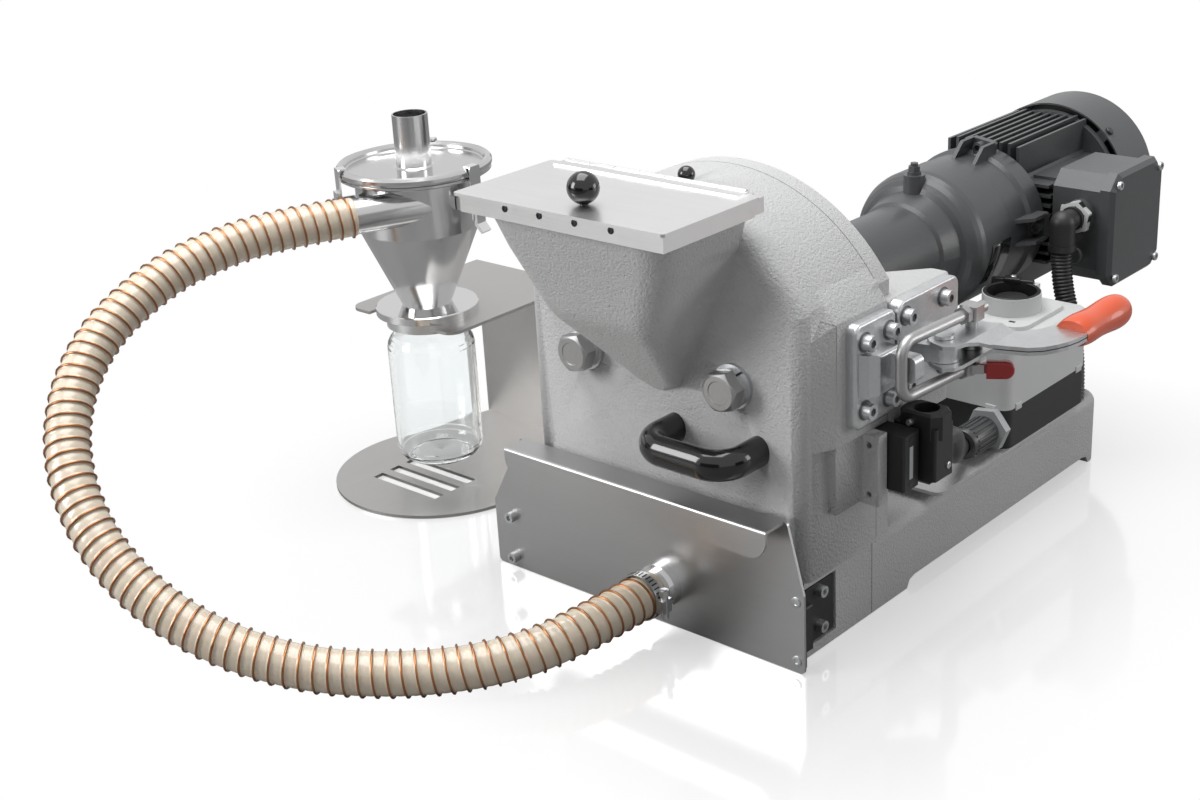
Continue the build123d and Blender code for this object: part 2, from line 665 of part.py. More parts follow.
def make_disc_bolts():
    bolts = []
    for x in (-BOLT_SPAN / 2, BOLT_SPAN / 2):
        y0 = DOOR_FACE_Y - WASHER_THICK - SPRING_WASHER - BOLT_HEAD
        head = hexagon_y(BOLT_AF, x, AXIS_Z, y0, y0 + BOLT_HEAD, 12)
        face = BOLT_AF / 2
        head &= turned_y([(0, y0 + 0.8), (face * 0.62, y0 + 0.8), (face * 0.66, y0), (face * 0.92, y0),
                          (face * 1.17, y0 + 2.8), (face * 1.17, y0 + BOLT_HEAD),
                          (0, y0 + BOLT_HEAD)], x, AXIS_Z)
        shank = rod_y(BOLT_RADIUS, x, AXIS_Z, y0 + BOLT_HEAD, DOOR_FACE_Y + DOOR_WALL + 12)
        bolts.append(head + shank)
    return Compound(bolts)


def make_bolt_washers():
    washers = []
    for x in (-BOLT_SPAN / 2, BOLT_SPAN / 2):
        hole = BOLT_RADIUS + SLIP
        seat = DOOR_FACE_Y - WASHER_THICK
        washers.append(ring_y(WASHER_RADIUS, hole, x, AXIS_Z, seat, DOOR_FACE_Y))
        spring = ring_y(BOLT_RADIUS + 6.5, hole, x, AXIS_Z, seat - SPRING_WASHER, seat)
        slit = block(x - 1, x + 1, seat - SPRING_WASHER, seat, AXIS_Z, AXIS_Z + 30)
        washers.append(spring - Pos(x, 0, AXIS_Z) * Rot(0, 35, 0) * Pos(-x, 0, -AXIS_Z) * slit)
    return Compound(washers)


def make_door_handle():
    front = DOOR_FACE_Y - GRIP_REACH
    x0 = GRIP_X - GRIP_SPAN / 2
    x1 = GRIP_X + GRIP_SPAN / 2
    line = along([(x0, DOOR_FACE_Y, GRIP_Z), (x0, front, GRIP_Z), (x1, front, GRIP_Z),
                  (x1, DOOR_FACE_Y, GRIP_Z)], 22)
    section = Plane(origin=line @ 0, x_dir=(1, 0, 0), z_dir=line % 0) * Ellipse(GRIP_DEEP, GRIP_TALL)
    return sweep(section, path=line)


def make_hopper_rim():
    half = LID_HALF - RIM_INSET
    front = -LID_FRONT + 4
    top = LID_TOP - LID_SHEET
    bottom = HOPPER_TOP
    wall = RIM_SHEET
    body = block(-half, half, front, DOOR_FACE_Y - 1, bottom, top)
    body -= block(-half + wall, half - wall, front + wall, DOOR_FACE_Y - 1 - wall,
                  bottom + wall, top)
    opening = HOPPER_HALF - HOPPER_WALL
    body -= block(-opening, opening, -HOPPER_FRONT + HOPPER_WALL, DOOR_FACE_Y - 6, bottom, top)
    shelf = block(-half, half, DOOR_FACE_Y - 1 - wall, RIM_REAR, top - wall, top)
    shelf -= rod_z(7.5, STOP_X, STOP_Y, top - 5, top + 5)
    cheeks = block(half - wall, half, DOOR_FACE_Y - 3, RIM_REAR, top - RIM_DROP, top)
    return body + shelf + cheeks + mirror(cheeks, Plane.YZ)


def knuckle_edges():
    """Ends of the piano hinge's knuckles along X."""
    start = -HINGE_PITCH * 7 / 2
    return [start + HINGE_PITCH * step for step in range(8)]


def make_lid_hinge():
    top = LID_TOP - LID_SHEET
    leaf = block(HINGE_LEFT, -HINGE_LEFT, HINGE_Y, RIM_REAR, top, top + 1.2)
    body = leaf
    edges = knuckle_edges()
    for index in range(7):
        x0 = edges[index]
        x1 = edges[index + 1]
        if index % 2 == 0:
            body += rod_x(HINGE_KNUCKLE_RADIUS, HINGE_Y, HINGE_Z, x0 + 0.2, x1 - 0.2)
        else:
            gap = HINGE_KNUCKLE_RADIUS + 0.4
            body -= block(x0 - 0.2, x1 + 0.2, HINGE_Y - 1, HINGE_Y + gap, top - 1, top + 3)
    return body + rod_x(HINGE_PIN_RADIUS, HINGE_Y, HINGE_Z, edges[0] + 0.2, edges[-1] - 0.2)


def make_lid_leaf():
    edges = knuckle_edges()
    leaf = block(HINGE_LEFT, -HINGE_LEFT, HINGE_Y - 14, HINGE_Y, LID_TOP, LID_TOP + 1.2)
    body = leaf
    gap = HINGE_KNUCKLE_RADIUS + 0.4
    for index in range(7):
        x0 = edges[index]
        x1 = edges[index + 1]
        if index % 2 == 0:
            body -= block(x0 - 0.2, x1 + 0.2, HINGE_Y - gap, HINGE_Y + 1, LID_TOP - 1, LID_TOP + 3)
        else:
            body += rod_x(HINGE_KNUCKLE_RADIUS, HINGE_Y, HINGE_Z, x0 + 0.2, x1 - 0.2)
    return body - rod_x(HINGE_PIN_RADIUS + RUN, HINGE_Y, HINGE_Z, edges[0] - 1, edges[-1] + 1)


def make_hopper_lid():
    plate = rounded_block(-LID_HALF, LID_HALF, -LID_FRONT, HINGE_Y - HINGE_KNUCKLE_RADIUS - 0.4,
                          LID_TOP - LID_SHEET, LID_TOP, 3, Axis.Z)
    return plate - rod_z(3.3, KNOB_X, KNOB_Y, LID_TOP - 5, LID_TOP + 1)


def make_lid_knob():
    centre = LID_TOP + KNOB_RADIUS + 0.3
    ball = Pos(KNOB_X, KNOB_Y, centre) * Sphere(KNOB_RADIUS)
    ball &= block(KNOB_X - 20, KNOB_X + 20, KNOB_Y - 20, KNOB_Y + 20, LID_TOP, centre + 20)
    return ball + rod_z(3, KNOB_X, KNOB_Y, LID_TOP - LID_SHEET - 1, LID_TOP + 2)


def make_lid_stop():
    ball = Pos(STOP_X, STOP_Y, STOP_Z) * Sphere(STOP_RADIUS)
    return ball + rod_z(4, STOP_X, STOP_Y, STOP_SEAT_Z, STOP_Z)


# Grinding discs, shaft, sleeve and gap ring

def tooth_fan(y0, y1):
    """Radial teeth on one face of a grinding disc."""
    teeth = []
    for step in range(TEETH):
        angle = 360 / TEETH * step
        tooth = block(DISC_RADIUS * 0.52, DISC_RADIUS - 4, y0, y1, -TOOTH_HALF, TOOTH_HALF)
        teeth.append(Pos(0, 0, AXIS_Z) * Rot(0, angle, 0) * tooth)
    return teeth


def make_fixed_disc():
    y0 = DOOR_FACE_Y + DOOR_WALL
    y1 = y0 + FIXED_DISC - TOOTH_HEIGHT
    body = rod_y(DISC_RADIUS, 0, AXIS_Z, y0, y1)
    body = body + tooth_fan(y1 - 0.5, y0 + FIXED_DISC)
    body -= turned_y([(0, y0 - 1), (FEED_RADIUS, y0 - 1), (FEED_RADIUS, y0 + 8),
                      (DISC_RADIUS * 0.5, y1 + 1), (0, y1 + 1)], 0, AXIS_Z)
    for x in (-BOLT_SPAN / 2, BOLT_SPAN / 2):
        body -= rod_y(BOLT_RADIUS + SEAT, x, AXIS_Z, y0 - 1, y0 + 14)
    return body


def make_turning_disc():
    y0 = DOOR_FACE_Y + DOOR_WALL + FIXED_DISC + GRIND_GAP
    y1 = y0 + TURNING_DISC
    body = rod_y(DISC_RADIUS, 0, AXIS_Z, y0 + TOOTH_HEIGHT, y1)
    body = body + tooth_fan(y0, y0 + TOOTH_HEIGHT + 0.5)
    hub = turned_y([(0, y0 - 9), (12, y0 - 9), (26, y0 + TOOTH_HEIGHT + 1),
                    (0, y0 + TOOTH_HEIGHT + 1)], 0, AXIS_Z)
    return body + hub


def make_mill_shaft():
    y0 = DOOR_FACE_Y + DOOR_WALL + FIXED_DISC + GRIND_GAP + TURNING_DISC
    carrier = rod_y(CARRIER_RADIUS, 0, AXIS_Z, y0, y0 + CARRIER_DEPTH)
    shaft = rod_y(SHAFT_RADIUS, 0, AXIS_Z, y0 + CARRIER_DEPTH - 1, y0 + SHAFT_LENGTH)
    key = block(-5, 5, y0 + SHAFT_LENGTH - 50, y0 + SHAFT_LENGTH - 6, AXIS_Z + SHAFT_RADIUS - 4,
                AXIS_Z + SHAFT_RADIUS + 3)
    return carrier + chamfer(shaft.edges().group_by(Axis.Y)[-1], 2) + key


def make_bearing_sleeve():
    start = SLEEVE_START
    sleeve = rod_y(SLEEVE_RADIUS, 0, AXIS_Z, start, start + SLEEVE_LENGTH)
    groove = ring_y(SLEEVE_RADIUS + 1, SLEEVE_RADIUS - 3, 0, AXIS_Z, start + 24, start + 36)
    return sleeve - groove - rod_y(SHAFT_RADIUS + RUN, 0, AXIS_Z, start - 1,
                                   start + SLEEVE_LENGTH + 1)


def make_gap_ring():
    y0 = SEAM_Y + FLANGE_DEPTH + 8
    outer = BEARING_RADIUS + GAP_RING_WALL
    body = ring_y(outer, BEARING_RADIUS + RUN, 0, AXIS_Z, y0, y0 + GAP_RING_DEPTH)
    body = chamfer(body.edges().group_by(Axis.Y)[-1].sort_by(Edge.length)[-1:], 2)
    for step in range(36):
        notch = rod_y(2.2, outer + 0.6, 0, y0 - 1, y0 + GAP_RING_DEPTH + 1)
        body -= Pos(0, 0, AXIS_Z) * Rot(0, 10 * step, 0) * notch
    return body


# Toggle clamp

def catch_screw_places():
    return [(y, z) for y in CATCH_SCREW_Y for z in CATCH_SCREW_Z]


def clamp_screw_places():
    return [(y, z) for y in CLAMP_SCREW_Y for z in CLAMP_SCREW_Z]


def make_door_catch():
    x1 = SIDE_PAD_X + CATCH_THICK
    post_y = HOOP_BAR_Y + HOOP_ROD + POST_GAP
    rear = post_y + 12
    plate = rounded_block(SIDE_PAD_X, x1, CATCH_Y[0], CATCH_Y[1], CATCH_Z[0], CATCH_Z[1], 8, Axis.X)
    plate = fillet(plate.faces().sort_by(Axis.X)[-1].edges(), 2.5)
    wedge = prism_z([(x1 - 1, CATCH_Y[0] + 4), (x1 + 7, CATCH_Y[0] + 8), (x1 + 13, CATCH_Y[0] + 14),
                     (x1 + 13, rear), (x1 - 1, rear)], CLAMP_MID_Z - 21, CLAMP_MID_Z + 13)
    wedge = fillet(wedge.faces().sort_by(Axis.X)[-1].edges(), 2.5)
    post = block(x1 - 1, PIVOT_X + 7, post_y, rear, CLAMP_MID_Z - 11, CLAMP_MID_Z + 10)
    post = fillet(post.edges().filter_by(Axis.Y).group_by(Axis.X)[-1], 5)
    body = plate + wedge + post
    for y, z in catch_screw_places():
        body -= rod_x(M8_RADIUS + SEAT, y, z, SIDE_PAD_X - 1, x1 + 1)
    return body


def make_clamp_base():
    x1 = SIDE_PAD_X + CATCH_THICK
    plate = rounded_block(SIDE_PAD_X, x1, CLAMP_Y[0], CLAMP_Y[1], CLAMP_BASE_Z[0],
                          CLAMP_BASE_Z[1], 9, Axis.X)
    plate = fillet(plate.faces().sort_by(Axis.X)[-1].edges(), 2)
    lug = prism_z([(x1 - 1, CLAMP_Y[0] + 4), (PIVOT_X, PIVOT_Y - 13), (PIVOT_X + 4, PIVOT_Y + 12),
                   (x1 - 1, CLAMP_Y[0] + 58)], CLAMP_MID_Z - 7, CLAMP_MID_Z + 7)
    nose = rod_z(13, PIVOT_X, PIVOT_Y, CLAMP_MID_Z - 7, CLAMP_MID_Z + 7)
    pin = rod_z(PIVOT_PIN, PIVOT_X, PIVOT_Y, PRONG_LOW - 2.5, PRONG_HIGH + HANDLE_SHEET + 2.5)
    low_head = rod_z(8, PIVOT_X, PIVOT_Y, PRONG_LOW - 2.8, PRONG_LOW - 0.3)
    high = PRONG_HIGH + HANDLE_SHEET
    high_head = rod_z(8, PIVOT_X, PIVOT_Y, high + 0.3, high + 2.8)
    body = plate + lug + nose + pin + low_head + high_head
    for y, z in clamp_screw_places():
        body -= rod_x(M8_RADIUS + SEAT, y, z, SIDE_PAD_X - 1, x1 + 1)
    return body


def handle_outline():
    """The handle plates seen from above, from the pivot to the grip."""
    return [(PIVOT_X + x, PIVOT_Y + y) for x, y in HANDLE_PLAN]


def bent_plate(side):
    """One handle plate before trimming: side is 1 for the upper plate and -1 for the lower."""
    bend_start, bend_end = (PIVOT_X + x for x in HANDLE_BEND)
    apart = PRONG_HIGH - CLAMP_MID_Z
    together = 0.4
    inner = [(PIVOT_X - 30, apart), (bend_start, apart), (bend_end, together), (PIVOT_X + 90, together)]
    outer = [(x, height + HANDLE_SHEET) for x, height in reversed(inner)]
    outline = [(x, CLAMP_MID_Z + side * height) for x, height in inner + outer]
    return prism_y(outline, PIVOT_Y - 30, PIVOT_Y + 160)


def handle_plan(z0, z1):
    plan = prism_z(handle_outline(), z0, z1)
    return fillet(plan.edges().filter_by(Axis.Z), 2)


def make_clamp_handle():
    low = PRONG_LOW
    top = PRONG_HIGH + HANDLE_SHEET
    body = (bent_plate(1) + bent_plate(-1)) & handle_plan(low - 1, top + 1)
    filler = block(PIVOT_X + 40, PIVOT_X + 90, PIVOT_Y + 105, PIVOT_Y + 140,
                   CLAMP_MID_Z - 1, CLAMP_MID_Z + 1)
    body += filler & handle_plan(low, top)
    body -= rod_z(PIVOT_PIN + RUN, PIVOT_X, PIVOT_Y, low - 5, top + 6)
    body -= rod_z(PIVOT_PIN + RUN, TRUNNION_X, TRUNNION_Y, low - 5, top + 6)
    return body


def make_handle_grip():
    start = (PIVOT_X + GRIP_START[0], PIVOT_Y + GRIP_START[1], CLAMP_MID_Z)
    end = (PIVOT_X + GRIP_END[0], PIVOT_Y + GRIP_END[1], CLAMP_MID_Z)
    line = Line(start, end)
    direction = line % 0
    across = (direction.Y, -direction.X, 0)
    forms = [(0, 14.5, 10.5), (0.3, 14.5, 12.5), (0.75, 14.5, 14), (0.9, 12.5, 12.5), (0.98, 7, 7)]
    sections = [Plane(origin=line @ place, x_dir=across, z_dir=direction) * Ellipse(wide, tall)
                for place, wide, tall in forms]
    body = loft(sections)
    half = HANDLE_SHEET + 0.4
    return body - handle_plan(CLAMP_MID_Z - half, CLAMP_MID_Z + half)


def release_place(shape):
    """Moves a shape from the release lever's own frame to its place on the hoop."""
    z = CLAMP_MID_Z - HOOP_SPREAD - 1
    return Pos(TRUNNION_X + 9.6, TRUNNION_Y, z) * Rot(0, 0, 33) * shape


def release_fork():
    """Two cheeks with the pin that the release lever turns on."""
    pin = rod_y(RELEASE_PIN, 0, 0, -4, 4)
    cheeks = [block(-9, 2, y, y + 2.4, -3.5, 3.5) for y in (-4.2, 1.8)]
    return release_place(pin + cheeks)


def make_clamp_hoop():
    low = CLAMP_MID_Z - HOOP_SPREAD - 1
    high = CLAMP_MID_Z + HOOP_SPREAD
    rear = TRUNNION_Y + 16
    slope = (TRUNNION_X - HOOP_BAR_X) / (TRUNNION_Y - HOOP_BAR_Y)
    rear_x = TRUNNION_X + slope * 16
    line = along([(rear_x, rear, high), (HOOP_BAR_X, HOOP_BAR_Y, high),
                  (HOOP_BAR_X, HOOP_BAR_Y, low), (rear_x, rear, low)], 12)
    body = bar_along(line, HOOP_ROD)
    body += rod_z(PIVOT_PIN, TRUNNION_X, TRUNNION_Y, low, high)
    body += rod_z(9, TRUNNION_X, TRUNNION_Y, PRONG_LOW + HANDLE_SHEET + SEAT, PRONG_HIGH - SEAT)
    for z, right in ((low, 5), (high, 8)):
        body += rounded_block(TRUNNION_X - 8, TRUNNION_X + right, TRUNNION_Y - 7, TRUNNION_Y + 7,
                              z - 6, z + 6, 2, Axis.Z)
        nut = hexagon_y(13, 0, z, TRUNNION_Y - 14, TRUNNION_Y - 7.2, 30)
        body += Pos(TRUNNION_X - slope * 11, 0, 0) * nut
    return body + release_fork()


def make_release_lever():
    blade = block(0, 12, -1.5, 1.5, -4, 4)
    blade += rod_y(4, 0, 0, -1.5, 1.5)
    blade -= rod_y(RELEASE_PIN + RUN, 0, 0, -2, 2)
    sleeve = block(4, 26, -4, 4, -8.5, 6.5)
    sleeve = fillet(sleeve.edges().filter_by(Axis.Y).group_by(Axis.X)[-1], 7)
    sleeve = fillet(sleeve.edges().filter_by(Axis.X), 2)
    return release_place(blade + sleeve)


def make_m8_cap_screws():
    screw = socket_screw(M8_RADIUS - 0.1, M8_HEAD_RADIUS, M8_HEAD, 22)
    x1 = SIDE_PAD_X + CATCH_THICK
    screws = [placed_x(screw, x1, y, z) for y, z in catch_screw_places() + clamp_screw_places()]
    return Compound(screws)


# Safety switch

def switch_ear():
    """The lug cast on the door's side that carries the switch's key."""
    y0, y1 = SWITCH_LUG_Y
    z0, z1 = SWITCH_LUG_Z
    ear_y = y1 - EAR_DEPTH
    body = block(ARCH_HALF - 1, ARCH_HALF + 8, y0, y1, z0 + 2, z1)
    body += block(ARCH_HALF - 1, SWITCH_LUG_X, ear_y, y1, z0, z1)
    for z in BRACKET_HOLE_Z:
        body -= rod_y(2.6, BRACKET_HOLE_X, z, ear_y - 1, y1 + 1)
    edges = body.edges().filter_by(Axis.Z).group_by(Axis.X)[-1]
    return fillet(edges, 1.5)


def make_switch_key():
    x0 = ARCH_HALF + 6
    y0 = SWITCH_LUG_Y[1] + 0.5
    body = block(x0, SWITCH_KEY_X, y0, SEAM_Y + 2.5, SWITCH_Z[0] - 3, SWITCH_LUG_Z[1] - 1.5)
    return chamfer(body.edges().filter_by(Axis.Z).group_by(Axis.X)[-1], 1.5)


def make_safety_switch():
    y0 = SEAM_Y + 5.5
    y1 = SEAM_Y + 32
    z0, z1 = SWITCH_Z
    middle = (y0 + y1) / 2
    body = block(SWITCH_BACK_X, SWITCH_FACE_X, y0, y1, z0, z1 - 12)
    body = fillet(body.edges().filter_by(Axis.Z), 2)
    foot = block(SWITCH_BACK_X + 12, SWITCH_FACE_X - 6, y0 + 3, y1 - 3, z0 - 6, z0 + 1)
    head = block(SWITCH_BACK_X + 3, SWITCH_FACE_X + 2, y0 - 0.5, y1, z1 - 22, z1)
    head = chamfer(head.edges().filter_by(Axis.Z), 7)
    head = chamfer(head.faces().sort_by(Axis.Z)[-1].edges(), 2)
    body += head + chamfer(foot.faces().sort_by(Axis.Z)[0].edges(), 3)
    body -= rod_z(10.5, SWITCH_BACK_X + 23, middle, z1 - 9, z1 + 1)
    return body + rod_y(8, SWITCH_BACK_X + 18, 144, y1 - 1, y1 + 9)


def make_switch_cable():
    x = SWITCH_BACK_X + 18
    y = SEAM_Y + 41
    gland_x, gland_z = GLAND_PLACE
    points = [(x, y, 144), (x, y + 44, 144), (gland_x, BOX_FRONT - 74, gland_z),
              (gland_x, BOX_FRONT - 26, gland_z)]
    radii = bend_radii(points)
    line = along(points, radii)
    print("switch cable length", round(line.length, 1), "bends", radii)
    return bar_along(line, SWITCH_CABLE / 2)


def make_box_gland():
    x, z = GLAND_PLACE
    nut = hexagon_y(36, x, z, BOX_FRONT - 8, BOX_FRONT, 8)
    sleeve = rod_y(13, x, z, BOX_FRONT - 26, BOX_FRONT - 7)
    return nut + sleeve


# Control box

def make_control_box():
    body = rounded_block(BOX_LEFT, BOX_RIGHT, BOX_FRONT, BOX_REAR, BOX_BOTTOM, BOX_SPLIT, 10, Axis.Z)
    inner = rounded_block(BOX_LEFT + BOX_WALL, BOX_RIGHT - BOX_WALL, BOX_FRONT + BOX_WALL,
                          BOX_REAR - BOX_WALL, BOX_BOTTOM + BOX_WALL, BOX_SPLIT + 1, 6, Axis.Z)
    return body - inner


def make_control_cover():
    body = rounded_block(BOX_LEFT, BOX_RIGHT, BOX_FRONT, BOX_REAR, BOX_SPLIT, BOX_TOP, 10, Axis.Z)
    inner = rounded_block(BOX_LEFT + BOX_WALL, BOX_RIGHT - BOX_WALL, BOX_FRONT + BOX_WALL,
                          BOX_REAR - BOX_WALL, BOX_SPLIT - 1, BOX_TOP - BOX_WALL, 6, Axis.Z)
    body = fillet(body.faces().sort_by(Axis.Z)[-1].edges(), 5)
    hood = rounded_block(BOX_LEFT + 16, BOX_RIGHT - 14, COLLAR_Y - 44, COLLAR_Y + 42,
                         BOX_TOP - 2, BOX_TOP + 4, 14, Axis.Z)
    return body - inner + hood - rod_z(STOP_HOLE, COLLAR_X, COLLAR_Y, BOX_TOP - 20, BOX_TOP + 9)


def make_button_collar():
    z0 = BOX_TOP + 4
    body = ring_z(COLLAR_RADIUS, COLLAR_RADIUS - COLLAR_WALL, COLLAR_X, COLLAR_Y, z0, COLLAR_TOP)
    floor = ring_z(COLLAR_RADIUS, STOP_HOLE, COLLAR_X, COLLAR_Y, z0, z0 + 2)
    sleeve = ring_z(STOP_HOLE - SEAT, BUTTON_STEM + RUN, COLLAR_X, COLLAR_Y, BOX_TOP - 16, z0 + 2)
    floor_join = ring_z(STOP_HOLE + 1, BUTTON_STEM + RUN, COLLAR_X, COLLAR_Y, z0, z0 + 2)
    bar = block(COLLAR_X - 11, COLLAR_X + 11, COLLAR_Y + COLLAR_RADIUS - 2,
                COLLAR_Y + COLLAR_RADIUS + 6, COLLAR_TOP - 8, COLLAR_TOP)
    return body + floor + sleeve + floor_join + bar


def make_stop_button():
    z0 = BOX_TOP + 6 + BUTTON_TRAVEL + 0.5
    stem = rod_z(BUTTON_STEM, COLLAR_X, COLLAR_Y, BOX_TOP - 10, z0 + 2)
    dome = turned_z([(0, z0), (BUTTON_RADIUS - 1, z0), (BUTTON_RADIUS, z0 + 1),
                     (BUTTON_RADIUS, z0 + 3), (BUTTON_RADIUS - 3, z0 + 5), (0, z0 + 6)],
                    COLLAR_X, COLLAR_Y)
    return stem + dome


def make_box_bracket():
    top = block(BOX_LEFT + 6, BOX_RIGHT, BOX_FRONT - 111, BOX_REAR - 10, BOX_BOTTOM - 3, BOX_BOTTOM)
    top = fillet(top.edges().filter_by(Axis.Z).group_by(Axis.X)[-1], 8)
    feet = [block(BOX_LEFT + 20, BASE_HALF - 14, y, y + 26, BASE_TOP, BOX_BOTTOM - 3)
            for y in (BOX_FRONT - 80, BOX_REAR - 50)]
    return top + feet


# Gearmotor

def make_gear_housing():
    case = [
        (SHAFT_RADIUS + 12, NECK_START), (NECK_RADIUS + 12, NECK_START),
        (NECK_RADIUS + 12, NECK_START + 9), (NECK_RADIUS, NECK_START + 12),
        (NECK_RADIUS, NECK_END - 22), (NECK_RADIUS + 3, NECK_END - 19),
    ]
    round_radius = CASE_RADIUS - NECK_RADIUS - 4
    for step in range(1, 7):
        angle = math.radians(15 * step)
        case.append((CASE_RADIUS - 1 - round_radius * (1 - math.sin(angle)),
                     NECK_END + round_radius * (1 - math.cos(angle))))
    case += [
        (CASE_RADIUS - 1, CASE_END - 48), (CASE_RADIUS - 2, CASE_END - 46),
        (CASE_RADIUS - 2, CASE_END - 16), (CASE_RADIUS + 1, CASE_END - 12),
        (CASE_RADIUS + 1, CASE_END - 1), (CASE_RADIUS, CASE_END), (0, CASE_END),
        (0, NECK_END - 50), (SHAFT_RADIUS + 12, NECK_END - 50),
    ]
    body = turned_y(case, 0, AXIS_Z) + breather_boss()
    for angle in LUG_ANGLES:
        body += Pos(0, 0, AXIS_Z) * Rot(0, angle, 0) * housing_lug()
    return body


def housing_lug():
    """A ribbed lug with a socket screw, at the top of the gear housing."""
    reach = LUG_REACH
    back = block(-13, 13, CASE_END - 7, CASE_END, CASE_RADIUS - 8, reach)
    back = fillet(back.edges().filter_by(Axis.Y).group_by(Axis.Z)[-1], 3)
    rib = prism_x([(CASE_END - 44, CASE_RADIUS - 10), (CASE_END - 26, reach), (CASE_END - 5, reach),
                   (CASE_END - 5, CASE_RADIUS - 10)], -13, -9.5)
    screw = rod_y(5.5, 0, reach - 7, CASE_END - 15, CASE_END - 6)
    screw -= hexagon_y(6, 0, reach - 7, CASE_END - 16, CASE_END - 11)
    return back + rib + mirror(rib, Plane.YZ) + screw


def breather_boss():
    """A cast boss on the housing's shoulder with a hexagon plug."""
    y = NECK_END + 5
    top = AXIS_Z + CASE_RADIUS - 0.5
    boss = rod_z(10, 0, y, AXIS_Z + NECK_RADIUS - 8, top)
    boss += rod_z(6.5, 0, y, top - 1, top + 3)
    hexagon = Pos(0, y, top + 3) * extrude(RegularPolygon(6, 6), amount=5)
    return boss + hexagon + rod_z(3.5, 0, y, top + 7, top + 11)


def make_motor_body():
    body = rod_y(MOTOR_RADIUS, 0, AXIS_Z, CASE_END, MOTOR_END)
    ends = [ring_y(CASE_RADIUS, MOTOR_RADIUS - 1, 0, AXIS_Z, CASE_END, CASE_END + 12),
            ring_y(FIN_REACH + 2, MOTOR_RADIUS - 1, 0, AXIS_Z, MOTOR_END - 18, MOTOR_END - 10)]
    body = body + ends + motor_fins() + terminal_neck()
    return body - rod_y(ROTOR_RADIUS + RUN, 0, AXIS_Z, MOTOR_END - 30, MOTOR_END + 1)


def motor_fins():
    """Straight fins on all four sides, their tips on a rounded square."""
    y0 = CASE_END + 14
    y1 = MOTOR_END - 12
    fins = []
    count = int(MOTOR_RADIUS // FIN_STEP)
    for step in range(-count, count + 1):
        offset = step * FIN_STEP
        foot = math.sqrt(MOTOR_RADIUS ** 2 - offset ** 2) - 1
        tip = min(FIN_REACH, math.sqrt(max(0, 82.0 ** 2 - offset ** 2)))
        for turn in (0, 90, 180, 270):
            fin = block(offset - FIN_THICK / 2, offset + FIN_THICK / 2, y0, y1, foot, tip)
            if abs(offset) < 44:
                fins.append(Pos(0, 0, AXIS_Z) * Rot(0, turn, 0) * fin)
    return fins


def terminal_neck():
    z_mid = (TERMINAL_Z[0] + TERMINAL_Z[1]) / 2
    return block(MOTOR_RADIUS - 12, FIN_REACH + 3, TERMINAL_Y[0] + 22, TERMINAL_Y[1] - 6,
                 z_mid - 40, z_mid + 40)


def make_fan_cover():
    outline = [
        (COVER_RADIUS - COVER_SHEET, COVER_START), (COVER_RADIUS, COVER_START),
        (COVER_RADIUS, COVER_END - 15), (COVER_RADIUS - 6, COVER_END - 4),
        (COVER_RADIUS - 13, COVER_END), (0, COVER_END), (0, COVER_END - COVER_SHEET),
        (COVER_RADIUS - 14, COVER_END - COVER_SHEET), (COVER_RADIUS - 8, COVER_END - 6),
        (COVER_RADIUS - COVER_SHEET, COVER_END - 16),
    ]
    body = turned_y(outline, 0, AXIS_Z)
    for radius in (20, 32, 44, 56):
        slots = ring_y(radius + 4, radius, 0, AXIS_Z, COVER_END - 5, COVER_END + 2)
        cross = [Pos(0, 0, AXIS_Z) * Rot(0, a, 0) * block(-80, 80, COVER_END - 6, COVER_END + 3, -2, 2)
                 for a in (0, 45, 90, 135)]
        body -= slots - cross
    return body + cover_tabs()


def cover_tabs():
    """Short tabs that carry the cover on the motor's end ring."""
    tabs = []
    start = COVER_START - 1
    for angle in (45, 135, 225, 315):
        tab = block(-6, 6, start, start + 2, FIN_REACH - 4, COVER_RADIUS - 1)
        tabs.append(Pos(0, 0, AXIS_Z) * Rot(0, angle, 0) * tab)
    return tabs


def make_motor_fan():
    y0 = MOTOR_END + 6
    hub = rod_y(16, 0, AXIS_Z, y0, y0 + 26)
    shaft = rod_y(ROTOR_RADIUS, 0, AXIS_Z, MOTOR_END - 26, y0 + 30)
    plate = rod_y(FAN_RADIUS - 20, 0, AXIS_Z, y0, y0 + 3)
    blades = [Pos(0, 0, AXIS_Z) * Rot(0, 360 / 7 * n, 0)
              * block(10, FAN_RADIUS, y0, y0 + 26, -1.5, 1.5) for n in range(7)]
    return hub + shaft + plate + blades


def terminal_outline(inset):
    """The terminal box's side view with cut corners."""
    y0 = TERMINAL_Y[0] + inset
    y1 = TERMINAL_Y[1] - inset
    z0 = TERMINAL_Z[0] + inset
    z1 = TERMINAL_Z[1] - inset
    cut = TERMINAL_CHAMFER
    return [(y0 + cut, z0), (y1 - cut, z0), (y1, z0 + cut), (y1, z1 - cut), (y1 - cut, z1),
            (y0 + cut, z1), (y0, z1 - cut), (y0, z0 + cut)]


def make_terminal_box():
    x0 = FIN_REACH + 3
    x1 = TERMINAL_X - TERMINAL_LID
    body = prism_x(terminal_outline(3), x0, x1)
    body -= prism_x(terminal_outline(8), x0 + 5, x1 + 1)
    boss = rod_y(15, ELBOW_X, ELBOW_Z, TERMINAL_Y[0] - 6, TERMINAL_Y[0] + 4)
    return body + boss - rod_y(8, ELBOW_X, ELBOW_Z, TERMINAL_Y[0] - 7, TERMINAL_Y[0] + 12)


def make_terminal_cover():
    x0 = TERMINAL_X - TERMINAL_LID
    body = prism_x(terminal_outline(0), x0, TERMINAL_X)
    body = chamfer(body.faces().sort_by(Axis.X)[-1].edges(), 4)
    return body - prism_x(terminal_outline(8), x0 - 1, TERMINAL_X - 4)


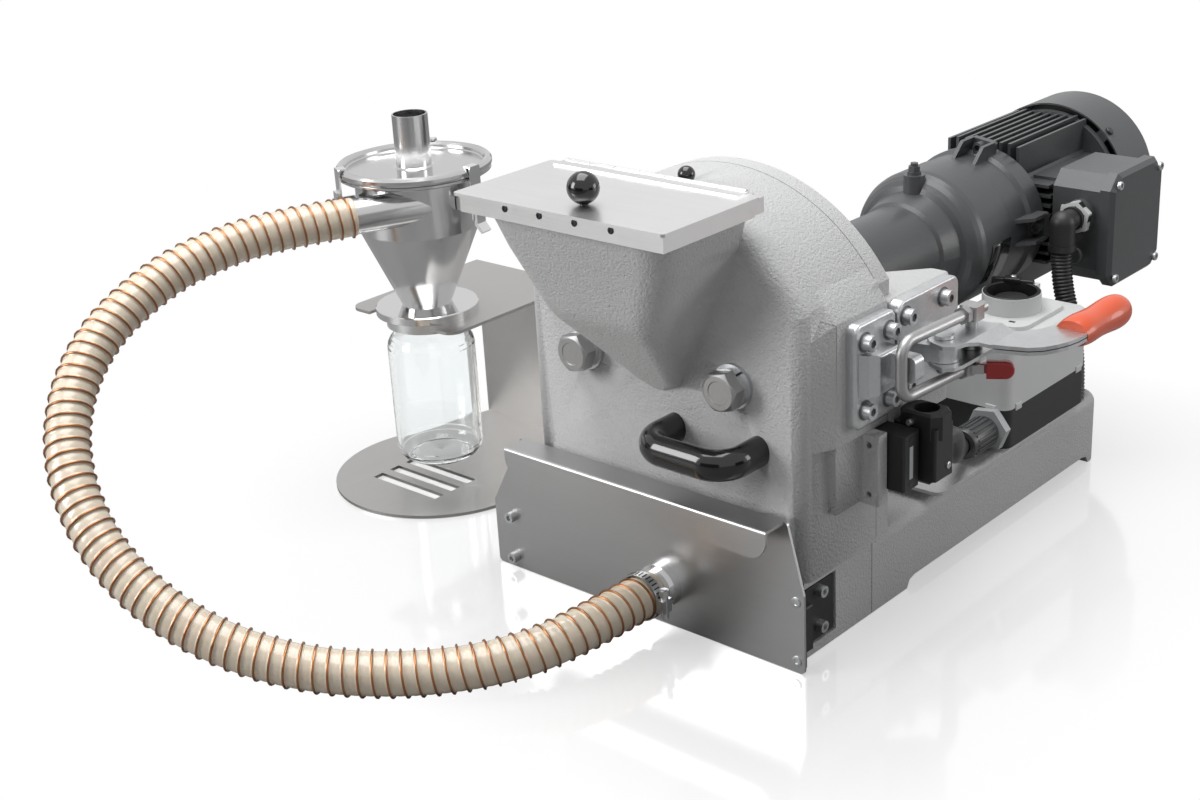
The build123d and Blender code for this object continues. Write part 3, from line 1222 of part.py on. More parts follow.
def make_cable_elbow():
    x, z = ELBOW_X, ELBOW_Z
    y1 = TERMINAL_Y[0] - 6
    drop_y = TERMINAL_Y[0] - ELBOW_REACH
    nut = hexagon_y(29, x, z, y1 - 6, y1, 10)
    collar = rod_y(11.5, x, z, y1 - 10, y1 - 5)
    arm = rod_y(10, x, z, drop_y, y1 - 9)
    corner = Pos(x, drop_y, z) * Sphere(12)
    leg = rod_z(12, x, drop_y, z - 26, z)
    foot = rod_z(12.8, x, drop_y, z - 26, z - 20)
    return nut + collar + arm + corner + leg + foot


def conduit_points():
    """The conduit's route from the elbow down to the frame's deck."""
    y = TERMINAL_Y[0] - ELBOW_REACH
    return [(ELBOW_X, y, ELBOW_Z - 26.3), (ELBOW_X, y, ELBOW_Z - 52), (ELBOW_X + 12, y + 2, 145),
            (ELBOW_X + 18, y + 3, 100), (ELBOW_X + 18, y + 3, BASE_TOP + 0.4)]


def make_conduit():
    points = conduit_points()
    radii = bend_radii(points)
    line = along(points, radii)
    print("conduit length", round(line.length, 1), "bends", radii)
    return tube_along(line, CONDUIT_RADIUS, CONDUIT_RADIUS - 2)


# Cyclone, jar, stand and hose

def inlet_frame():
    """Start point and direction of the cyclone's inlet pipe."""
    turn = math.radians(INLET_TURN)
    direction = (math.sin(turn), math.cos(turn))
    side = (math.cos(turn), -math.sin(turn))
    offset = CYCLONE_RADIUS - PIPE_RADIUS - 0.2
    middle = (CYCLONE_X + side[0] * offset, CYCLONE_Y + side[1] * offset)
    return middle, direction


def inlet_pipe(radius, back, ahead):
    middle, direction = inlet_frame()
    length = back + ahead
    centre = (ahead - back) / 2
    pipe = Cylinder(radius, length)
    x = middle[0] + direction[0] * centre
    y = middle[1] + direction[1] * centre
    return Pos(x, y, INLET_Z) * Rot(0, 0, -INLET_TURN) * Rot(-90, 0, 0) * pipe


def make_cyclone_body():
    r = CYCLONE_RADIUS
    t = CYCLONE_SHEET
    neck = NECK_PIPE_RADIUS
    rim = RIM_RADIUS
    outline = [
        (r - t, CYCLONE_TOP), (rim - 3, CYCLONE_TOP), (rim - 1, CYCLONE_TOP - 1.2),
        (rim - 1, CYCLONE_TOP - 3), (rim - 3.5, CYCLONE_TOP - 4.5), (r + 2, CYCLONE_TOP - 5),
        (r, CYCLONE_TOP - 7), (r, CYCLONE_BOTTOM), (neck, FLANGE_TOP),
        (neck - t, FLANGE_TOP), (r - t, CYCLONE_BOTTOM + 0.5),
    ]
    shell = turned_z(outline, CYCLONE_X, CYCLONE_Y)
    hollow = rod_z(r - t, CYCLONE_X, CYCLONE_Y, CYCLONE_BOTTOM + 0.5, CYCLONE_TOP + 1)
    pipe = inlet_pipe(PIPE_RADIUS, INLET_LENGTH, 2) - hollow
    return shell + pipe - inlet_pipe(PIPE_RADIUS - t, INLET_LENGTH + 2, 4)


def make_cyclone_lid():
    t = CYCLONE_SHEET
    r = OUTLET_RADIUS
    dip = r - DIP_STEP
    base = CYCLONE_TOP
    rim = RIM_RADIUS
    outline = [
        (r - t, base - 44), (dip, base - 44), (dip, base), (rim - 1, base), (rim, base + 2),
        (rim, base + 5), (rim - 1.5, base + RIM_RISE - 0.8), (rim - 4, base + RIM_RISE),
        (rim - 6.5, base + RIM_RISE - 0.8), (rim - 8, base + 5), (rim - 8, base + t + 1),
        (rim - 9, base + t), (r + 2, base + t), (r, base + t + 1.5), (r, OUTLET_TOP),
        (r - t, OUTLET_TOP),
    ]
    return turned_z(outline, CYCLONE_X, CYCLONE_Y)


def make_cyclone_flange():
    neck = NECK_PIPE_RADIUS
    outline = [
        (neck - CYCLONE_SHEET, FLANGE_BOTTOM - 14), (neck + 3, FLANGE_BOTTOM - 14),
        (neck + 3, FLANGE_BOTTOM), (FLANGE_RADIUS, FLANGE_BOTTOM), (FLANGE_RADIUS, FLANGE_TOP - 1),
        (FLANGE_RADIUS - 1, FLANGE_TOP), (neck - CYCLONE_SHEET, FLANGE_TOP),
    ]
    return turned_z(outline, CYCLONE_X, CYCLONE_Y)


def make_jar_ring():
    """A ring under the cyclone's flange that holds the jar's neck."""
    top = STAND_TOP
    neck = NECK_PIPE_RADIUS + 3 + SEAT
    ring = ring_z(JAR_RING_RADIUS, JAR_NECK_RADIUS + SLIP + 1, CYCLONE_X, CYCLONE_Y,
                  JAR_RING_BOTTOM, top)
    roof = ring_z(JAR_RING_RADIUS, neck, CYCLONE_X, CYCLONE_Y, top - 2, top)
    return ring + roof


def make_jar():
    r = JAR_RADIUS
    w = JAR_WALL
    neck = JAR_NECK_RADIUS
    base = JAR_BOTTOM
    shoulder = JAR_SHOULDER
    top = STAND_TOP - STAND_SHEET - 2.5
    outline = [
        (0, base + 2.5), (r - 17, base + 0.8), (r - 13, base), (r - 9, base + 1), (r - 4.5, base + 4),
        (r - 1.5, base + 8.5), (r, base + 14), (r, shoulder), (r - 1, shoulder + 5),
        (r - 3.5, shoulder + 9.5), (r - 7, shoulder + 13), (neck, shoulder + 17), (neck, top),
        (neck - w, top), (neck - w, shoulder + 15.5), (r - 8, shoulder + 11.3),
        (r - w - 2.4, shoulder + 8.2), (r - w - 0.8, shoulder + 4.5), (r - w, shoulder),
        (r - w, base + 14), (r - w - 1.2, base + 9), (r - w - 3.5, base + 6), (r - 12, base + 4),
        (0, base + 5),
    ]
    return turned_z(outline, CYCLONE_X, CYCLONE_Y)


def make_stand():
    x = CYCLONE_X
    y = CYCLONE_Y
    t = STAND_SHEET
    half = STAND_HALF
    rear = STAND_REAR_Y
    disc = rod_z(STAND_DISC_RADIUS, x, y, 0, t)
    tongue = prism_z([(x - STAND_DISC_RADIUS, y + 4), (x + STAND_DISC_RADIUS, y + 4),
                      (x + half, rear), (x - half, rear)], 0, t)
    slots = [block(x - 45, x + 45, y - 54 + 22 * n, y - 42 + 22 * n, -1, t + 1) for n in range(3)]
    base = disc + tongue - slots
    wall = block(x - half, x + half, rear - t, rear, 0, STAND_TOP)
    fork = fork_plate()
    body = base + wall + fork
    outer = body.edges().filter_by(Axis.X).group_by(Axis.Y)[-1]
    return fillet(outer, t)


def fork_plate():
    """The stand's top plate with a slot that the cyclone's neck slides into."""
    x = CYCLONE_X
    y = CYCLONE_Y
    half = STAND_HALF
    z1 = STAND_TOP
    z0 = z1 - STAND_SHEET
    plate = block(x - half, x + half, y - FORK_FRONT, STAND_REAR_Y, z0, z1)
    plate = fillet(plate.edges().filter_by(Axis.Z).group_by(Axis.Y)[0], 14)
    slot = block(x - FORK_SLOT, x + FORK_SLOT, y - FORK_FRONT - 1, y, z0 - 1, z1 + 1)
    return plate - slot - rod_z(FORK_SLOT, x, y, z0 - 1, z1 + 1)


def make_latch(angle):
    """A draw latch between the cyclone's rim and its lid, at an angle from +X."""
    inner = RIM_RADIUS + 0.4
    hook = CYCLONE_TOP + RIM_RISE + 0.3
    strap = block(inner, inner + 1.6, -7, 7, CYCLONE_TOP - 42, hook + 1.7)
    strap = fillet(strap.edges().filter_by(Axis.X), 2)
    claw = block(inner - 7, inner + 1.6, -6, 6, hook, hook + 1.7)
    lever = block(inner + 1.6, inner + 5, -6, 6, CYCLONE_TOP - 46, CYCLONE_TOP - 12)
    tip = prism_y([(inner + 2, CYCLONE_TOP - 46), (inner + 9, CYCLONE_TOP - 53),
                   (inner + 11, CYCLONE_TOP - 51), (inner + 5, CYCLONE_TOP - 44)], -6, 6)
    knuckle = Pos(inner + 2.6, 0, LATCH_PIVOT_Z) * Rot(90, 0, 0) * Cylinder(3, 12)
    hole = Pos(inner + 2.6, 0, LATCH_PIVOT_Z) * Rot(90, 0, 0) * Cylinder(1.5 + RUN, 30)
    shape = strap + claw + lever + tip + knuckle - hole
    return Pos(CYCLONE_X, CYCLONE_Y, 0) * Rot(0, 0, angle) * shape


def make_latch_brackets():
    """Small brackets welded to the cyclone that carry the latches' pins."""
    parts = []
    for angle in LATCH_ANGLES:
        inner = RIM_RADIUS + 0.4
        pin = Pos(inner + 2.6, 0, LATCH_PIVOT_Z) * Rot(90, 0, 0) * Cylinder(1.5, 20)
        cheeks = [block(CYCLONE_RADIUS + SEAT, inner + 6, y, y + 2, LATCH_PIVOT_Z - 6,
                        LATCH_PIVOT_Z + 6) for y in (-9.5, 7.5)]
        back = block(CYCLONE_RADIUS + SEAT, CYCLONE_RADIUS + 2, -9.5, 9.5, LATCH_PIVOT_Z - 6,
                     LATCH_PIVOT_Z + 6)
        shape = pin + cheeks + back
        parts.append(Pos(CYCLONE_X, CYCLONE_Y, 0) * Rot(0, 0, angle) * shape)
    return Compound(parts)


def hose_points():
    middle, direction = inlet_frame()
    end = (middle[0] - direction[0] * HOSE_END, middle[1] - direction[1] * HOSE_END, INLET_Z)
    before = (end[0] - direction[0] * 55, end[1] - direction[1] * 55, INLET_Z)
    start = (NOZZLE_X, HOSE_START_Y, NOZZLE_Z)
    after = (NOZZLE_X, HOSE_START_Y - 64, NOZZLE_Z)
    return [start, after] + HOSE_MIDDLE + [before, end]


def bend_radii(points):
    """The largest tidy radius at each inner point of a polygon."""
    radii = []
    for before, here, after in zip(points, points[1:], points[2:]):
        a = Vector(*here) - Vector(*before)
        b = Vector(*after) - Vector(*here)
        half = math.radians(a.get_angle(b)) / 2
        radii.append(round(0.45 * min(a.length, b.length) / math.tan(half), 1))
    return radii


def make_hose():
    points = hose_points()
    radii = bend_radii(points)
    line = along(points, radii)
    print("hose length", round(line.length, 1), "bends", radii)
    return tube_along(line, HOSE_OUTER / 2, HOSE_INNER / 2)


def build_all():
    """Every node's name with the shape that is saved for it."""
    return {
        "machine_frame": make_machine_frame(),
        "front_block": make_front_block(),
        "front_panel": make_front_panel(),
        "cap_screws_m6": make_cap_screws_m6(),
        "suction_tray": make_suction_tray(),
        "hose_nozzle": make_hose_nozzle(),
        "hose_clamp": make_hose_clamp(),
        "interlock_actuator": make_interlock_actuator(),
        "interlock_sensor": make_interlock_sensor(),
        "door": make_door(),
        "door_hinge": make_door_hinge(),
        "disc_bolts": make_disc_bolts(),
        "bolt_washers": make_bolt_washers(),
        "door_handle": make_door_handle(),
        "hopper_rim": make_hopper_rim(),
        "lid_hinge": make_lid_hinge(),
        "lid_leaf": make_lid_leaf(),
        "hopper_lid": make_hopper_lid(),
        "lid_knob": make_lid_knob(),
        "lid_stop": make_lid_stop(),
        "fixed_disc": make_fixed_disc(),
        "turning_disc": make_turning_disc(),
        "mill_shaft": make_mill_shaft(),
        "bearing_sleeve": make_bearing_sleeve(),
        "gap_ring": make_gap_ring(),
        "door_catch": make_door_catch(),
        "clamp_base": make_clamp_base(),
        "clamp_handle": make_clamp_handle(),
        "handle_grip": make_handle_grip(),
        "clamp_hoop": make_clamp_hoop(),
        "release_lever": make_release_lever(),
        "m8_cap_screws": make_m8_cap_screws(),
        "switch_key": make_switch_key(),
        "safety_switch": make_safety_switch(),
        "switch_cable": make_switch_cable(),
        "box_gland": make_box_gland(),
        "control_box": make_control_box(),
        "control_cover": make_control_cover(),
        "button_collar": make_button_collar(),
        "stop_button": make_stop_button(),
        "box_bracket": make_box_bracket(),
        "gear_housing": make_gear_housing(),
        "motor_body": make_motor_body(),
        "fan_cover": make_fan_cover(),
        "motor_fan": make_motor_fan(),
        "terminal_box": make_terminal_box(),
        "terminal_cover": make_terminal_cover(),
        "cable_elbow": make_cable_elbow(),
        "conduit": make_conduit(),
        "cyclone_body": make_cyclone_body(),
        "cyclone_lid": make_cyclone_lid(),
        "cyclone_flange": make_cyclone_flange(),
        "jar_ring": make_jar_ring(),
        "jar": make_jar(),
        "stand": make_stand(),
        "latch_brackets": make_latch_brackets(),
        "latch_a": make_latch(LATCH_ANGLES[0]),
        "latch_b": make_latch(LATCH_ANGLES[1]),
        "latch_c": make_latch(LATCH_ANGLES[2]),
        "hose": make_hose(),
    }


if __name__ == "__main__":
    os.makedirs("parts", exist_ok=True)
    for node, shape in build_all().items():
        export_step(shape, f"parts/{node}.step")
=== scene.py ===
"""Looks of a bench disc mill with its suction hose, cyclone, jar and stand."""
import json
import math

import bmesh
import bpy
from mathutils import Matrix, Vector


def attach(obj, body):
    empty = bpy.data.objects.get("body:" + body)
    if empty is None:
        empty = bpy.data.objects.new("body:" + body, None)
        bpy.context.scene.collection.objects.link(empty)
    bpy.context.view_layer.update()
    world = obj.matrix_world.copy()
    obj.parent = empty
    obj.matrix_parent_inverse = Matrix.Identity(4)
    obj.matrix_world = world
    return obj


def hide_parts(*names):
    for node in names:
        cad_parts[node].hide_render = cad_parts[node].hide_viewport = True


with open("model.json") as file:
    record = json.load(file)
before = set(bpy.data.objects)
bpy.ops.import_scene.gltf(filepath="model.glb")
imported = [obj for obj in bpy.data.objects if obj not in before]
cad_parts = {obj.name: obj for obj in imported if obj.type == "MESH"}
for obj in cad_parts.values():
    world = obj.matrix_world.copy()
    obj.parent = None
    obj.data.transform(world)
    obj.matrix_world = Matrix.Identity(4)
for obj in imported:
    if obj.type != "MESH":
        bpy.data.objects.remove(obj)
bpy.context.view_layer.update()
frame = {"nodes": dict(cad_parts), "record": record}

MM = 0.001
NODES = frame["nodes"]

# Camera, worked out from the photograph's own perspective: place, angles in degrees, lens and film in mm
CAMERA_PLACE = Vector((889.8, -1007.0, 748.6)) * MM
CAMERA_HEADING = 43.059
CAMERA_DOWN = 22.110
CAMERA_ROLL = -3.349
CAMERA_LENS = 54.12
CAMERA_FILM = 36

# Studio in metres: what the sky gives to matt surfaces and shows in mirrors, the middle that the lamps
# face, and the footprints near which the floor takes shade and a mirror image
SKY_LIGHT = 0.22
MIRRORED_LIGHT = 0.8
STUDIO_MIDDLE = (-0.05, 0.2, 0.15)
FLOOR_SIDE = 18.0
MILL_MIDDLE = (-0.017, 0.258)
MILL_HALF = (0.170, 0.258)
STAND_MIDDLE = (-0.372, 0.105)
STAND_RADIUS = 0.108
MILL_FADE = 0.22
STAND_FADE = 0.10
FLOOR_BOUNCE = (0.26, 0.26, 0.26)
FLOOR_WHITE = (0.93, 0.93, 0.93)
FLOOR_MIRROR = 0.30
FLOOR_SHADE = 0.24

# Places on the mill in mm, and angles in degrees
SEAM = 115.0
SEAM_LINE = 0.25
SEAM_FOOT = 72
SEAM_HEIGHT = 220
ARCH_RADIUS = 170.05
ARCH_HALF = 143.05
ARCH_AXIS_Z = 199.6
ARCH_ANGLE = 57
FLANK_START = (133.7, 304.6)
FLANK_END = (152.6, 280.5)
FLANK_LOW = (126, 20, 178.8)
FLANK_TOP = 306
FLANK_FRONT = 46
PAD_LOW = (144.5, 30, 262)
PAD_HIGH = (160, 120, 310)
PAD_SINK = 0.4
CATCH_FACE = 162
CATCH_SCREWS = [(y, z) for y in (70.5, 103.5) for z in (205.5, 261.5)]
CLAMP_SCREWS = [(y, z) for y in (127, 181) for z in (208, 266)]
SCREW_SOCKET_X = 168.9
MOTOR_AXIS_Z = 225
HOUSING_RADIUS = 69.9
PLATE_START = 86
PLATE_SWEEP = 31
MOTOR_END = 660
FAN_COVER_RADIUS = 83.0
ELBOW_PLACE = (108, 504.1, 242)
ELBOW_NUT_TURN = 40
BUTTON_PLACE = (100, 401)
GLAND_PLACE = (133, 99)
NOZZLE_PLACE = (9, 37)

# Suction hose, conduit and switch lead; routes in mm
HOSE_ROUTE = [
    (9, -16, 37), (9, -80, 37), (-16, -152, 26), (-80, -218, 20), (-155, -277, 31),
    (-232, -319, 65), (-308, -332, 117), (-374, -308, 179), (-416, -246, 235), (-423, -161, 273),
    (-409, -90, 288), (-387.7, -31.8, 292), (-365.4, 18.5, 292),
]
HOSE_DIAMETER = 0.0385
HOSE_PITCH = 11.6 * MM
HOSE_WIRE = 1.0 * MM
HOSE_STEPS = 12
FILM_SINK = 1.7 * MM
FILM_CREST = 1.5 * MM
FILM_BELLY = 0.55 * MM
FILM_WALL = 1.2
TURNS_BEFORE = 1000
CONDUIT_ROUTE = [(108, 478, 215.7), (108, 478, 190), (120, 480, 145), (126, 481, 100), (126, 481, 69.4)]
CONDUIT_PITCH = 3.6 * MM
CONDUIT_STEPS = 6
CONDUIT_RADIUS = 8.4 * MM
CONDUIT_RIB = 1.5 * MM
CONDUIT_WALL = 1.0
CABLE_ROUTE = [(173, 156, 144), (173, 200, 144), (133, 238, 99), (133, 286, 99)]
CABLE_RADIUS = 3.5 * MM
ELBOW_RADIUS = 7.8 * MM
ELBOW_ROUTE = [
    (173, 155, 150), (173, 176, 152), (171, 192, 140), (158, 210, 116), (140, 240, 100), (133, 262, 99),
]


class Value:
    """A node's output that sums and products can be written with."""

    def __init__(self, finish, socket):
        self.finish = finish
        self.socket = socket

    def sum(self, operation, *values, clamp=False):
        inputs = dict(enumerate(values))
        return self.finish.node("Math", {"operation": operation, "use_clamp": clamp}, inputs)

    def __add__(self, other):
        return self.sum("ADD", self, other)

    def __sub__(self, other):
        return self.sum("SUBTRACT", self, other)

    def __rsub__(self, other):
        return self.sum("SUBTRACT", other, self)

    def __mul__(self, other):
        return self.sum("MULTIPLY", self, other)

    def __truediv__(self, other):
        return self.sum("DIVIDE", self, other)

    def __pow__(self, other):
        return self.sum("POWER", self, other)

    def clamped(self):
        return self.sum("ADD", self, 0.0, clamp=True)

    def size(self):
        return self.sum("ABSOLUTE", self)

    def at_least(self, other):
        return self.sum("MAXIMUM", self, other)

    __radd__ = __add__
    __rmul__ = __mul__


class Finish:
    """A material: one principled shader, and the nodes that vary its sockets."""

    def __init__(self, name, color, roughness, metallic=0.0, **constants):
        self.material = bpy.data.materials.new(name)
        self.material.use_nodes = True
        self.tree = self.material.node_tree
        self.shader = self.tree.nodes["Principled BSDF"]
        self.output = self.tree.nodes["Material Output"]
        self.material.diffuse_color = (*color, 1)
        self.set("Base Color", (*color, 1))
        self.set("Roughness", roughness)
        self.set("Metallic", metallic)
        for key, value in constants.items():
            self.set(key.replace("_", " ").title().replace("Ior", "IOR"), value)

    def node(self, kind, settings=None, inputs=None, output=0):
        """Any node: its settings first, then the values or links of its sockets."""
        made = self.tree.nodes.new("ShaderNode" + kind)
        for key, value in (settings or {}).items():
            if key == "stops":
                self.fill_ramp(made.color_ramp, value)
            else:
                setattr(made, key, value)
        for key, value in (inputs or {}).items():
            if isinstance(value, Value):
                self.tree.links.new(value.socket, made.inputs[key])
            else:
                made.inputs[key].default_value = value
        return Value(self, made.outputs[output])

    @staticmethod
    def fill_ramp(ramp, stops):
        while len(ramp.elements) < len(stops):
            ramp.elements.new(0.5)
        for element, (place, shade) in zip(ramp.elements, stops):
            element.position = place
            element.color = (shade, shade, shade, 1)

    def set(self, socket, value):
        """A constant goes on the socket itself, and a value is linked to it."""
        if isinstance(value, Value):
            self.tree.links.new(value.socket, self.shader.inputs[socket])
        else:
            self.shader.inputs[socket].default_value = value

    def place(self, scale=(1, 1, 1)):
        """Object coordinates, stretched."""
        here = self.node("TexCoord", output="Object")
        return self.node("Mapping", {}, {"Vector": here, "Scale": scale})

    def noise(self, scale, detail=2.0, rough=0.5, where=None):
        inputs = {"Vector": where or self.place(), "Scale": scale, "Detail": detail, "Roughness": rough}
        return self.node("TexNoise", {}, inputs)

    def cells(self, scale):
        return self.node("TexVoronoi", {}, {"Vector": self.place(), "Scale": scale})

    def ramp(self, factor, *stops):
        return self.node("ValToRGB", {"stops": stops}, {"Fac": factor})

    def blend(self, factor, first, second):
        """A colour between two colours."""
        first = (*first, 1) if isinstance(first, tuple) else first
        second = (*second, 1) if isinstance(second, tuple) else second
        return self.node("Mix", {"data_type": "RGBA"}, {"Factor": factor, 6: first, 7: second}, output=2)

    def bump(self, height, strength, distance):
        return self.node("Bump", {}, {"Height": height, "Strength": strength, "Distance": distance})


def powder_coat(name, color, grain=1.0):
    """Textured powder coat: fine orange peel with slight clouds and pits in the colour."""
    finish = Finish(name, color, 0.42, specular_ior_level=0.45)
    peel = finish.noise(560 / grain, 3.0, 0.6)
    fine = finish.noise(1700 / grain, 2.0, 0.5)
    clouds = finish.noise(9, 3.0, 0.6)
    pits = finish.ramp(finish.cells(500 / grain), (0.0, 0.0), (0.5, 1.0))
    pale = tuple(min(1.0, c * 1.08) for c in color)
    dark = tuple(c * 0.88 for c in color)
    finish.set("Base Color", finish.blend((0.5 * clouds + 0.5 * peel).clamped(), dark, pale))
    finish.set("Roughness", 0.32 + 0.16 * clouds + 0.10 * peel)
    finish.set("Normal", finish.bump(peel + 0.35 * fine + 0.3 * pits, 1.0, 0.9 * MM * grain))
    return finish.material


def brushed_sheet(name, color, direction, rough=0.34):
    """Rolled or brushed stainless sheet, with its grain along one direction."""
    finish = Finish(name, color, rough, 1.0)
    fine = tuple(14 if axis == direction else 1500 for axis in "xyz")
    wide = tuple(3 if axis == direction else 90 for axis in "xyz")
    grain = finish.noise(1.0, 3.0, 0.6, finish.place(fine))
    bands = finish.noise(1.0, 2.0, 0.5, finish.place(wide))
    clouds = finish.noise(7, 3.0, 0.5)
    dark = tuple(c * 0.86 for c in color)
    pale = tuple(min(1.0, c * 1.08) for c in color)
    shade = (0.55 * grain + 0.25 * bands + 0.2 * clouds).clamped()
    finish.set("Base Color", finish.blend(shade, dark, pale))
    finish.set("Roughness", rough - 0.07 + 0.10 * grain + 0.06 * clouds)
    finish.set("Normal", finish.bump(grain + 0.3 * bands, 0.10, 0.05 * MM))
    return finish.material


def polished_steel(name, color, rough=0.11):
    """Spun and polished stainless, with faint turning lines round a vertical axis."""
    finish = Finish(name, color, rough, 1.0)
    rings = finish.noise(1.0, 2.0, 0.5, finish.place((6, 6, 900)))
    clouds = finish.noise(14, 3.0, 0.55)
    finish.set("Roughness", rough - 0.03 + 0.05 * rings + 0.04 * clouds)
    finish.set("Normal", finish.bump(rings + 0.6 * clouds, 0.06, 0.06 * MM))
    return finish.material


def zinc_plate(name, color, rough=0.3, spangle=0.0):
    """Zinc-plated steel; a spangle gives the cloudy look of a cast and coated part."""
    finish = Finish(name, color, rough, 1.0)
    clouds = finish.noise(60, 4.0, 0.6)
    fine = finish.noise(1400, 2.0, 0.5)
    spots = finish.cells(330)
    dark = tuple(c * 0.80 for c in color)
    finish.set("Base Color", finish.blend((0.7 * clouds + 0.3 * spots).clamped(), dark, color))
    finish.set("Roughness", rough - 0.06 + 0.16 * clouds + 0.05 * fine)
    relief = clouds + 0.5 * fine + spangle * spots
    finish.set("Normal", finish.bump(relief, 0.18 + 0.3 * spangle, 0.15 * MM))
    return finish.material


def moulded_plastic(name, color, rough=0.4, grain=0.2):
    """Moulded plastic with a fine spark-eroded grain."""
    finish = Finish(name, color, rough, specular_ior_level=0.5)
    fine = finish.noise(1800, 2.0, 0.6)
    clouds = finish.noise(22, 3.0, 0.5)
    pale = tuple(min(1.0, c * 1.12 + 0.004) for c in color)
    finish.set("Base Color", finish.blend(clouds, color, pale))
    finish.set("Roughness", rough - 0.05 + 0.08 * fine + 0.05 * clouds)
    finish.set("Normal", finish.bump(fine, grain, 0.1 * MM))
    return finish.material


def gloss_plastic(name, color, rough=0.09):
    """Glossy phenolic or dipped plastic with a little waviness."""
    finish = Finish(name, color, rough, coat_weight=0.4, coat_roughness=0.05)
    wave = finish.noise(45, 2.0, 0.5)
    dust = finish.noise(900, 2.0, 0.6)
    finish.set("Roughness", rough + 0.05 * wave + 0.05 * dust)
    finish.set("Normal", finish.bump(wave, 0.12, 0.25 * MM))
    return finish.material


def motor_enamel(name, color):
    """Dark semi-gloss enamel sprayed over rough castings."""
    finish = Finish(name, color, 0.3, coat_weight=0.1, coat_roughness=0.2)
    rough_cast = finish.noise(190, 3.0, 0.6)
    peel = finish.noise(700, 2.0, 0.5)
    clouds = finish.noise(12, 3.0, 0.5)
    pale = tuple(c * 1.22 for c in color)
    finish.set("Base Color", finish.blend(clouds, color, pale))
    finish.set("Roughness", 0.24 + 0.16 * clouds + 0.06 * peel)
    finish.set("Normal", finish.bump(rough_cast + 0.5 * peel, 0.35, 0.4 * MM))
    return finish.material


def blown_glass(name, color):
    """Clear glass, a little wavy as a blown jar is."""
    finish = Finish(name, color, 0.0, transmission_weight=1.0, ior=1.46)
    wave = finish.noise(30, 2.0, 0.5)
    finish.set("Normal", finish.bump(wave, 0.25, 0.4 * MM))
    return finish.material


def hose_film(name, color):
    """Milky film between the wire's turns, warmer close to the wire."""
    finish = Finish(name, color, 0.22, coat_weight=0.5, coat_roughness=0.12,
                    subsurface_weight=0.25, subsurface_scale=0.004)
    turns = finish.node("UVMap", {"uv_map": "turns"})
    across = finish.node("SeparateXYZ", {}, {"Vector": turns})
    phase = across.sum("FRACT", across)
    near_wire = ((phase - 0.5).size() * 2.0) ** 7.0
    clouds = finish.noise(40, 3.0, 0.6)
    skin = finish.blend(clouds, (0.75, 0.61, 0.47), (0.85, 0.74, 0.61))
    finish.set("Base Color", finish.blend((0.8 * near_wire).clamped(), skin, (0.62, 0.36, 0.20)))
    finish.set("Roughness", 0.2 + 0.12 * clouds)
    finish.set("Normal", finish.bump(clouds, 0.1, 0.2 * MM))
    return finish.material


# How each finish is made: its maker, its colour and what else the maker takes
RECIPES = {
    "frame_paint": (powder_coat, (0.60, 0.603, 0.606), 1.1),
    "casting_paint": (powder_coat, (0.58, 0.583, 0.586), 1.4),
    "sheet_steel": (brushed_sheet, (0.50, 0.50, 0.50), "x"),
    "stand_steel": (brushed_sheet, (0.50, 0.49, 0.48), "y"),
    "pale_steel": (brushed_sheet, (0.78, 0.78, 0.78), "x", 0.30),
    "polished_steel": (polished_steel, (0.74, 0.74, 0.74)),
    "cyclone_steel": (polished_steel, (0.64, 0.64, 0.64), 0.17),
    "zinc_steel": (zinc_plate, (0.66, 0.67, 0.68)),
    "rough_zinc": (zinc_plate, (0.68, 0.69, 0.70), 0.32, 1.6),
    "black_phenolic": (gloss_plastic, (0.008, 0.008, 0.008)),
    # black_plastic also colours the painted shade of the control box cover's slots
    "black_plastic": (moulded_plastic, (0.011, 0.011, 0.0115), 0.45),
    "motor_paint": (motor_enamel, (0.062, 0.065, 0.068)),
    "grey_plastic": (moulded_plastic, (0.62, 0.63, 0.63), 0.42, 0.12),
    "gland_plastic": (moulded_plastic, (0.42, 0.43, 0.44), 0.4, 0.1),
    "orange_grip": (gloss_plastic, (0.78, 0.10, 0.025), 0.28),
    "red_grip": (gloss_plastic, (0.47, 0.008, 0.006), 0.24),
    "hard_iron": (zinc_plate, (0.30, 0.30, 0.31), 0.4, 0.6),
    "tool_steel": (polished_steel, (0.50, 0.50, 0.51), 0.24),
    # conduit_black also colours black marks of painted shade: in screw sockets, holes, slots and inside the
    # fan cover
    "conduit_black": (moulded_plastic, (0.02, 0.02, 0.021), 0.34, 0.2),
    "clear_glass": (blown_glass, (0.97, 0.99, 0.99)),
    "hose_skin": (hose_film, (0.80, 0.70, 0.60)),
    "copper_wire": (polished_steel, (0.36, 0.165, 0.075), 0.28),
    "satin_steel": (zinc_plate, (0.46, 0.46, 0.46), 0.36),
    # dark_steel colours the painted shadow rings under the clamp's socket screws
    "dark_steel": (zinc_plate, (0.20, 0.20, 0.205), 0.4),
    "gloss_black": (gloss_plastic, (0.012, 0.012, 0.013), 0.12),
    "dark_plastic": (moulded_plastic, (0.06, 0.062, 0.064), 0.3, 0.1),
    "pale_plastic": (moulded_plastic, (0.55, 0.56, 0.56), 0.4, 0.1),
}
FINISHES = {name: make(name, *values) for name, (make, *values) in RECIPES.items()}


def dress(piece, finish):
    piece.data.materials.clear()
    piece.data.materials.append(FINISHES[finish])


def shaded(mesh, angle):
    """Smooth faces with sharp edges past an angle."""
    for face in mesh.polygons:
        face.use_smooth = True
    mesh.set_sharp_from_angle(angle=math.radians(angle))


def finished(mesh, name, finish, angle=38):
    """An object of a finished mesh, dressed, which rides on the mill."""
    piece = bpy.data.objects.new(name, mesh)
    bpy.context.scene.collection.objects.link(piece)
    shaded(mesh, angle)
    dress(piece, finish)
    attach(piece, "mill")
    return piece


def mesh_from(bm, name):
    mesh = bpy.data.meshes.new(name)
    bm.to_mesh(mesh)
    bm.free()
    return mesh


